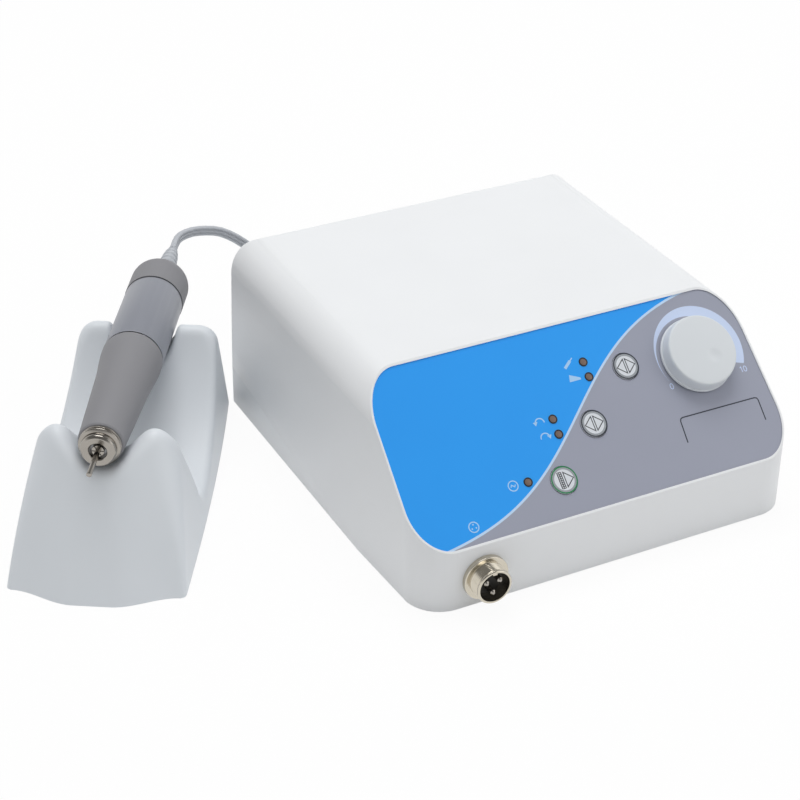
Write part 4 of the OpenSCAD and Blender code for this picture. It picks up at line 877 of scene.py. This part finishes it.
        def on_table(turn):
            return self.slice_points(along, self.DEEP / np.cos(turn), turn)

        widest = np.full_like(along, math.atan2(self.HALF + 1, self.DEEP))
        turn = self.cross(np.zeros_like(along), widest, on_table) * np.linspace(-1, 1, self.RAYS + 1)[None, :]
        low = self.DEEP / np.cos(turn)
        high = np.full_like(turn, 2 * self.DEEP + self.HORN_H)
        reach = self.cross(low, high, lambda middle: self.slice_points(along, middle, turn))
        return np.stack(self.slice_points(along, reach, turn))

    def inner_skin(self, outer, wall):
        """The skin moved in by a wall, and not below the table."""
        step = 0.01
        here = self.inside(*outer)
        rises = [self.inside(*(outer + step * side[:, None, None])) - here for side in np.eye(3)]
        inward = np.stack(rises) / np.linalg.norm(rises, axis=0)
        inner = outer + wall * inward
        inner[2] = np.maximum(inner[2], 0)
        return inner

    def execute(self, context):
        sizes = context.scene.grinder_sizes
        foot = NOSE - TAILWARD * self.NOSE_Y * MM
        foot.z = 0
        place = Matrix.Translation(foot) @ Matrix((HAND_SIDE, TAILWARD, (0, 0, 1))).transposed().to_4x4()
        outer = self.skin()
        inner = self.inner_skin(outer, sizes.stand_wall / MM)
        points = np.concatenate([skin.reshape(3, -1).T for skin in (outer, inner)])
        vertices = [place @ (Vector(point) * MM) for point in points.tolist()]
        count = self.RAYS + 1
        whole = count * (self.SLICES + 1)
        faces = []
        for start in range(0, whole - count, count):
            for near in range(start, start + self.RAYS):
                quad = [near, near + 1, near + 1 + count, near + count]
                faces += [quad, [corner + whole for corner in reversed(quad)]]
        last = whole - count
        border = [*range(count), *range(2 * count - 1, whole, count), *range(whole - 2, last - 1, -1),
                  *range(last - count, 0, -count)]
        faces += join_rings(border, [corner + whole for corner in border])
        stand = new_piece("stand_body", vertices, faces, 60)
        dress(stand, "control_unit", "stand_white", context.scene.grinder_colours, ("stand_shell",))
        return {"FINISHED"}


class GRINDER_OT_socket(Operator):
    """Motor socket: a threaded barrel with a flange and a key rib"""

    bl_idname = "grinder.socket"
    bl_label = "Motor socket"

    BARREL_R, BORE_R, FLANGE_R = 8, 6.9, 10.3
    REACH, FLANGE, TAIL = 6.9, 2.3, 12
    THREAD_START, THREAD_STEP, THREAD_GAP, THREAD_FADE = 0.9, 0.1, 0.3, 0.4
    RIB_HALF, RIB_DEPTH, RIB_SINK, RIB_START, RIB_STEPS, CUP = 1.1, 1, 0.2, 0.3, 8, 6.5

    def execute(self, context):
        sizes = context.scene.grinder_sizes
        low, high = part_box("motor_socket")
        front = Vector(((low.x + high.x) / 2, low.y, (low.z + high.z) / 2))
        place = frame_matrix(front, Vector((1, 0, 0)), Vector((0, 1, 0)))
        pitch = sizes.thread_pitch / MM
        depth = sizes.thread_depth / MM
        thread_end = self.REACH - self.THREAD_GAP

        def thread(radius, along, angle):
            if radius != self.BARREL_R or not self.THREAD_START < along < thread_end:
                return (0, 0)
            share = (along / pitch + angle / (2 * math.pi)) % 1
            ends = min(along - self.THREAD_START, thread_end - along, self.THREAD_FADE) / self.THREAD_FADE
            return (-depth * ends * (1 - abs(2 * share - 1)), 0)

        whole = self.REACH + self.FLANGE
        steps = int((thread_end - self.THREAD_START) / self.THREAD_STEP)
        barrel = [(self.BARREL_R, self.THREAD_START + self.THREAD_STEP * step) for step in range(steps + 1)]
        rim = rounded([(self.BORE_R, self.CUP), (self.BORE_R, 0, 0.25), (self.BARREL_R - 0.35, 0, 0.15),
                       (self.BARREL_R, 0.4, 0.15), barrel[0]])
        flange = rounded([barrel[-1], (self.BARREL_R, self.REACH, 0.15), (self.FLANGE_R, self.REACH, 0.5),
                          (self.FLANGE_R, whole, 0.12), (self.BARREL_R, whole),
                          (self.BARREL_R, whole + self.TAIL), (self.BORE_R, whole + self.TAIL)])
        profile = [*rim, *barrel[1:-1], *flange]
        socket = lathe("motor_socket_barrel", profile, place, 120, True, thread)
        colours = context.scene.grinder_colours
        dress(socket, "control_unit", "warm_nickel", colours, ("motor_socket",))
        steps = self.RIB_STEPS
        half_turn = math.degrees(math.asin(self.RIB_HALF / self.BORE_R))
        turns = [-90 + half_turn * (2 * step / steps - 1) for step in range(steps + 1)]
        vertices = []
        for along in (self.RIB_START, self.CUP):
            for radius in (self.BORE_R + self.RIB_SINK, self.BORE_R - self.RIB_DEPTH):
                points = [Vector((*on_circle((0, 0), radius, turn), along)) for turn in turns]
                vertices += [place @ (point * MM) for point in points]
        count = steps + 1
        front_out, front_in, back_out, back_in = [range(count * row, count * (row + 1)) for row in range(4)]
        rows = (front_out, front_in, back_in, back_out)
        faces = [[row[end] for row in rows] for end in (0, steps)]
        for near, far in zip(rows, rows[1:] + rows[:1]):
            faces += [[near[step], near[step + 1], far[step + 1], far[step]] for step in range(steps)]
        rib = new_piece("motor_socket_rib", vertices, faces)
        dress(rib, "control_unit", "warm_nickel", colours)
        return {"FINISHED"}


class GRINDER_OT_knob(Operator):
    """Speed knob: a low cap with a foot rim, a soft edge and a finger dimple"""

    bl_idname = "grinder.knob"
    bl_label = "Speed knob"

    FOOT, TOP, RADIUS, TAPER = 0.3, 8.2, 17.2, 0.7
    RIM, RIM_STEP, EDGE, SKIN = 1.1, 0.4, 1.8, 2
    HUB_R, HUB_FOOT, SHAFT_R = 6, 3.9, 3.02
    # Face to the cavity and to the end of the shaft's bore
    FACE_SKIN, BORE_SKIN = 4, 1.95
    CROWN = 0.8
    DIMPLE_AT, DIMPLE_TURN, DIMPLE_R = 5.8, -44, 4

    def execute(self, context):
        depth = context.scene.grinder_sizes.dimple_depth / MM
        wall = self.RADIUS - self.TAPER
        turn = math.radians(self.DIMPLE_TURN)
        centre = Vector((self.DIMPLE_AT * math.cos(turn), self.DIMPLE_AT * math.sin(turn)))

        def dimple(radius, along, angle):
            if along < self.TOP - self.EDGE:
                return (0, 0)
            point = Vector((radius * math.cos(angle), radius * math.sin(angle)))
            share = min((point - centre).length / self.DIMPLE_R, 1)
            crown = -self.CROWN * (radius / wall) ** 2
            return (0, crown - depth * (1 - share * share) ** 2)

        face_steps = 20
        face_r = wall - self.EDGE
        face = [(face_r * step / face_steps, self.TOP) for step in range(face_steps)]
        outside = rounded([(face_r, self.TOP), (wall - 0.2, self.TOP, self.EDGE),
                           (wall, self.TOP - self.EDGE - self.CROWN, 0.3),
                           (self.RADIUS - self.RIM_STEP, self.FOOT + self.RIM, 0.3),
                           (self.RADIUS, self.FOOT + self.RIM - 0.1, 0.2), (self.RADIUS, self.FOOT, 0.15)], 8)
        cavity = self.TOP - self.FACE_SKIN
        bore = self.TOP - self.BORE_SKIN
        inside = [(self.RADIUS, self.FOOT), (wall - self.SKIN, self.FOOT), (wall - self.SKIN, cavity),
                  (self.HUB_R, cavity), (self.HUB_R, self.HUB_FOOT), (self.SHAFT_R, self.HUB_FOOT),
                  (self.SHAFT_R, bore), (0, bore)]
        profile = [*face, *outside, *inside]
        place = frame_matrix(panel_place(*KNOB_AT, 0), ACROSS, OUTWARD)
        knob = lathe("speed_knob_cap", profile, place, 128, False, dimple, 40)
        dress(knob, "speed_knob", "knob_grey", context.scene.grinder_colours, ("speed_knob",))
        return {"FINISHED"}


class GRINDER_OT_panel(Operator):
    """Marks, lamp rings and lamp lenses on the panel film"""

    bl_idname = "grinder.panel"
    bl_label = "Panel marks"

    FRAME_LINE = ((43.3, 17.5), (43.9, 27.4), (44.4, 28.4), (45.4, 28.8), (83.2, 28.6), (84.3, 28.2),
                  (84.7, 27.2), (84.4, 17.7))
    FRAME_WIDTH = 0.55
    MOTOR_SIGN, PLUG_SIGN, SIGN_R = (-42.5, 20.4), (-65.9, 8.4), 2.2
    # Radius and height above the film
    RING = ((1.52, 0), (1.52, 0.3, 0.1), (2.05, 0.3, 0.2), (2.05, 0))
    LENS = ((0, 0.35), (0.8, 0.3), (1.5, 0.15), (1.5, 0), (0, 0))

    def pale_marks(self, marks):
        """Plain signs beside the lamps and over the socket."""
        # A handpiece and a pedal
        marks.stroke([(0.6, 63.4), (4.2, 66.2)], 1.3)
        marks.stroke([(4.2, 66.2), (5.6, 67.3)], 0.5)
        marks.tile([(0.4, 57), (6, 57), (6, 57.9), (1.2, 60.2)])
        # Arrows for the two ways round
        for up, way in ((43.6, 1), (36.8, -1)):
            middle = (-20.2, up - 0.4)
            tip = marks.arc(middle, 2.1, 90 - 95 * way, 90 + 75 * way, 0.55, 16)[-1]
            head = ((-1.1, 0.3), (1.1, 0.3), (-0.2 * way, -1.5))
            marks.tile([(tip[0] + across, tip[1] + lift) for across, lift in head])
        # A running motor, and a three pole plug
        for sign in (self.MOTOR_SIGN, self.PLUG_SIGN):
            marks.arc(sign, self.SIGN_R, 0, 360, 0.5)
        marks.stroke([(-43.7, 20), (-43.1, 20.9), (-41.9, 19.9), (-41.3, 20.8)], 0.45)
        for turn in (90, 210, 330):
            marks.disc(on_circle(self.PLUG_SIGN, self.SIGN_R / 2, turn), 0.36, 12)

    def scale_numbers(self, marks):
        """0 and 10 at the ends of the speed scale."""
        half_width, half_height, line, steps = 0.75, 1.25, 0.36, 20
        circle = [on_circle((0, 0), 1, 360 * step / steps) for step in range(steps)]
        for middle, height in ((46.4, 43.45), (84.7, 42.45)):
            points = [(middle + half_width * across, height + half_height * up) for across, up in circle]
            marks.stroke(points, line, True)
        marks.stroke([(82.2, 43.2), (82.9, 43.7), (82.9, 41.2)], line)

    def frame_line(self, marks):
        """Plain line above an empty field."""
        marks.stroke(self.FRAME_LINE, self.FRAME_WIDTH)

    def execute(self, context):
        colours = context.scene.grinder_colours
        top = FILM_TOP + context.scene.grinder_sizes.print_height / MM
        groups = (("film_signs", self.pale_marks, colours.mark_pale),
                  ("scale_numbers", self.scale_numbers, colours.film_scale),
                  ("frame_line", self.frame_line, colours.mark_dark))
        for name, draw, colour in groups:
            marks = Marks(panel_place, FILM_TOP, top)
            draw(marks)
            piece = marks.piece(name)
            dress(piece, "control_unit", "panel_print", colours)
            piece.data.materials[0] = ink(f"ink_{name}", colour)
        turns = 40
        for index, lamp in enumerate(LAMP_PLACES, 1):
            place = frame_matrix(panel_place(*lamp, FILM_TOP), ACROSS, OUTWARD)
            bezel = lathe(f"lamp_ring_{index}", rounded(self.RING), place, turns, True)
            dress(bezel, "control_unit", "black_plastic", colours)
            cap = lathe(f"lamp_lens_{index}", self.LENS, place, turns)
            dress(cap, "control_unit", "lamp_lens", colours)
        return {"FINISHED"}


class GRINDER_OT_keys(Operator):
    """Rings and arrows printed on the three keys, and a band of painted shade round their faces"""

    bl_idname = "grinder.keys"
    bl_label = "Key marks"

    # Radius and width of the outer line and of the band of painted shade inside it
    OUTER, BAND = (5.8, 0.6), (5.05, 0.85)
    LINE = 0.4
    ARROW = ((0.5, 3.3), (0.5, -3.3), (4.4, 0))
    BAR_LEFT, BAR_RIGHT, BAR_HALF, RUNGS = -2.3, -0.5, 3.6, 8

    def execute(self, context):
        colours = context.scene.grinder_colours
        top = KEY_TOP + context.scene.grinder_sizes.print_height / MM
        dark = ink("ink_keys", colours.mark_dark)
        green = ink("ink_motor_key", colours.mark_green)
        # Painted shade: a grey ink band round each key's face
        grey = ink("ink_key_band", colours.key_band)
        for key, middle in KEY_PLACES.items():
            line, band, sign = [Marks(panel_place, KEY_TOP, top) for _ in range(3)]
            line.arc(middle, self.OUTER[0], 0, 360, self.OUTER[1], 64)
            # The band of painted shade inside the outer line
            band.arc(middle, self.BAND[0], 0, 360, self.BAND[1], 64)
            self.arrow(sign, middle, 1)
            if key == "motor_key":
                self.bar(sign, middle)
            else:
                self.arrow(sign, middle, -1)
            edge = green if key == "motor_key" else dark
            for name, marks, colour in (("line", line, edge), ("band", band, grey), ("sign", sign, dark)):
                piece = dress(marks.piece(f"{key}_{name}"), key, "key_pale", colours)
                piece.data.materials[0] = colour
        return {"FINISHED"}

    def arrow(self, marks, middle, side):
        """A tall outlined triangle that points to one side."""
        corners = [(middle[0] + side * across, middle[1] + up) for across, up in self.ARROW]
        marks.stroke(corners, self.LINE, True)

    def bar(self, marks, middle):
        """A hatched bar."""
        left = middle[0] + self.BAR_LEFT
        right = middle[0] + self.BAR_RIGHT
        low = middle[1] - self.BAR_HALF
        for across in (left, (left + right) / 2, right):
            marks.stroke([(across, low), (across, low + 2 * self.BAR_HALF)], self.LINE)
        for step in range(self.RUNGS + 1):
            up = low + 2 * self.BAR_HALF * step / self.RUNGS
            marks.stroke([(left, up), (right, up)], self.LINE * 0.7)


class GRINDER_OT_handpiece(Operator):
    """Turned parts of the handpiece: grip, plated nose and ribbed boot"""

    bl_idname = "grinder.handpiece"
    bl_label = "Handpiece"

    # Radius and distance from the nose, with how far from a corner its curve starts
    GRIP = ((8, 6.8), (9.2, 6.8, 0.3), (9.9, 7.6, 0.5), (12.2, 56, 6), (13.7, 71, 4), (13.7, 77.2, 0.4),
            (11.5, 77.2), (11.5, 62.7), (8, 62.7))
    COLLAR = ((5.55, 3.4), (7.9, 3.4, 0.2), (9.1, 4.1, 0.35), (9.1, 4.75, 0.15), (8.5, 4.9, 0.1),
              (8.5, 5.35, 0.1), (9.1, 5.5, 0.15), (9.1, 6.6, 0.2), (7.95, 6.6), (7.95, 63), (11.4, 63),
              (11.4, 79.5), (5.55, 79.5))
    NUT = ((3.8, 3.4), (3.8, 0.5, 0.25), (4.3, 0, 0.25), (6.7, 0, 0.35), (7.7, 1, 0.45), (7.7, 3.4))
    RELIEF_HEAD = ((0, 149.5), (5.6, 149.5), (5.6, 151.8), (4.3, 151.8))
    RELIEF_RIBS, RELIEF_STEPS, RELIEF_R, RELIEF_TIP_R, RIB_DEPTH = 7, 14, 4.3, 2.3, 0.8

    def relief_profile(self):
        """Boot: soft ribs on a body that draws in at its tip."""
        count = self.RELIEF_RIBS * self.RELIEF_STEPS
        points = list(self.RELIEF_HEAD)
        for step in range(count + 1):
            share = step / count
            body = self.RELIEF_R - (self.RELIEF_R - self.RELIEF_TIP_R) * share ** 4
            groove = max(-math.cos(2 * math.pi * share * self.RELIEF_RIBS), 0) ** 0.5
            points.append((body - self.RIB_DEPTH * groove, RELIEF_FOOT + (RELIEF_END - RELIEF_FOOT) * share))
        return points + [(0, RELIEF_END)]

    def execute(self, context):
        colours = context.scene.grinder_colours
        for name, profile, node, body, slot in (
                ("grip_body", self.GRIP, "front_grip", "twist_grip", "grip_grey"),
                ("nose_ring", self.COLLAR, "nose_collar", "handpiece", "nickel"),
                ("nose_face", self.NUT, "nose_nut", "handpiece", "nickel")):
            dress(lathe(name, rounded(profile), HAND, 128, True), body, slot, colours, (node,))
        boot = lathe("cord_boot", self.relief_profile(), HAND, 64, False, None, 60)
        dress(boot, "handpiece", "cord_grey", colours, ("strain_relief",))
        return {"FINISHED"}


class GRINDER_OT_finishes(Operator):
    """Finishes and broken edges of the frame's own parts"""

    bl_idname = "grinder.finishes"
    bl_label = "Finishes"

    SOFT = ("top_housing", "rear_panel", "mains_inlet", "switch_frame", "power_rocker", "fuse_cap",
            "fuse_holder", "foot_jack", "motor_sleeve", "rubber_feet")
    # Small parts have narrower edges
    SMALL = ("mode_key", "direction_key", "motor_key", "coil_tie", "plug_nut")
    NARROW = 0.3

    def execute(self, context):
        colours = context.scene.grinder_colours
        width = context.scene.grinder_sizes.edge_width
        for name, node in frame["nodes"].items():
            node.data.materials.clear()
            node.data.materials.append(finish_for(SLOTS[name], colours))
        for names, share in ((self.SOFT, 1), (self.SMALL, self.NARROW)):
            for name in names:
                soften(frame["nodes"][name], width * share)
        return {"FINISHED"}


OPERATORS = (GRINDER_OT_stage, GRINDER_OT_cord, GRINDER_OT_stand, GRINDER_OT_socket, GRINDER_OT_knob,
             GRINDER_OT_panel, GRINDER_OT_keys, GRINDER_OT_handpiece, GRINDER_OT_finishes)


class GRINDER_PT_pieces(Panel):
    """Lists the pieces, sizes and colours of the grinder"""

    bl_idname = "GRINDER_PT_pieces"
    bl_label = "Micromotor grinder"
    bl_space_type = "VIEW_3D"
    bl_region_type = "UI"
    bl_category = "Grinder"

    def draw(self, context):
        for operator in OPERATORS:
            self.layout.operator(operator.bl_idname)
        for group in (context.scene.grinder_sizes, context.scene.grinder_colours):
            for name in group.__annotations__:
                self.layout.prop(group, name)


CLASSES = (GrinderSizes, GrinderColours, *OPERATORS, GRINDER_PT_pieces)


def register():
    for item in CLASSES:
        bpy.utils.register_class(item)
    bpy.types.Scene.grinder_sizes = PointerProperty(type=GrinderSizes)
    bpy.types.Scene.grinder_colours = PointerProperty(type=GrinderColours)


def unregister():
    del bpy.types.Scene.grinder_colours
    del bpy.types.Scene.grinder_sizes
    for item in reversed(CLASSES):
        bpy.utils.unregister_class(item)


def main():
    """Makes every piece in order."""
    register()
    for operator in OPERATORS:
        getattr(bpy.ops.grinder, operator.bl_idname.split(".")[1])()


if __name__ == "__main__":
    main()
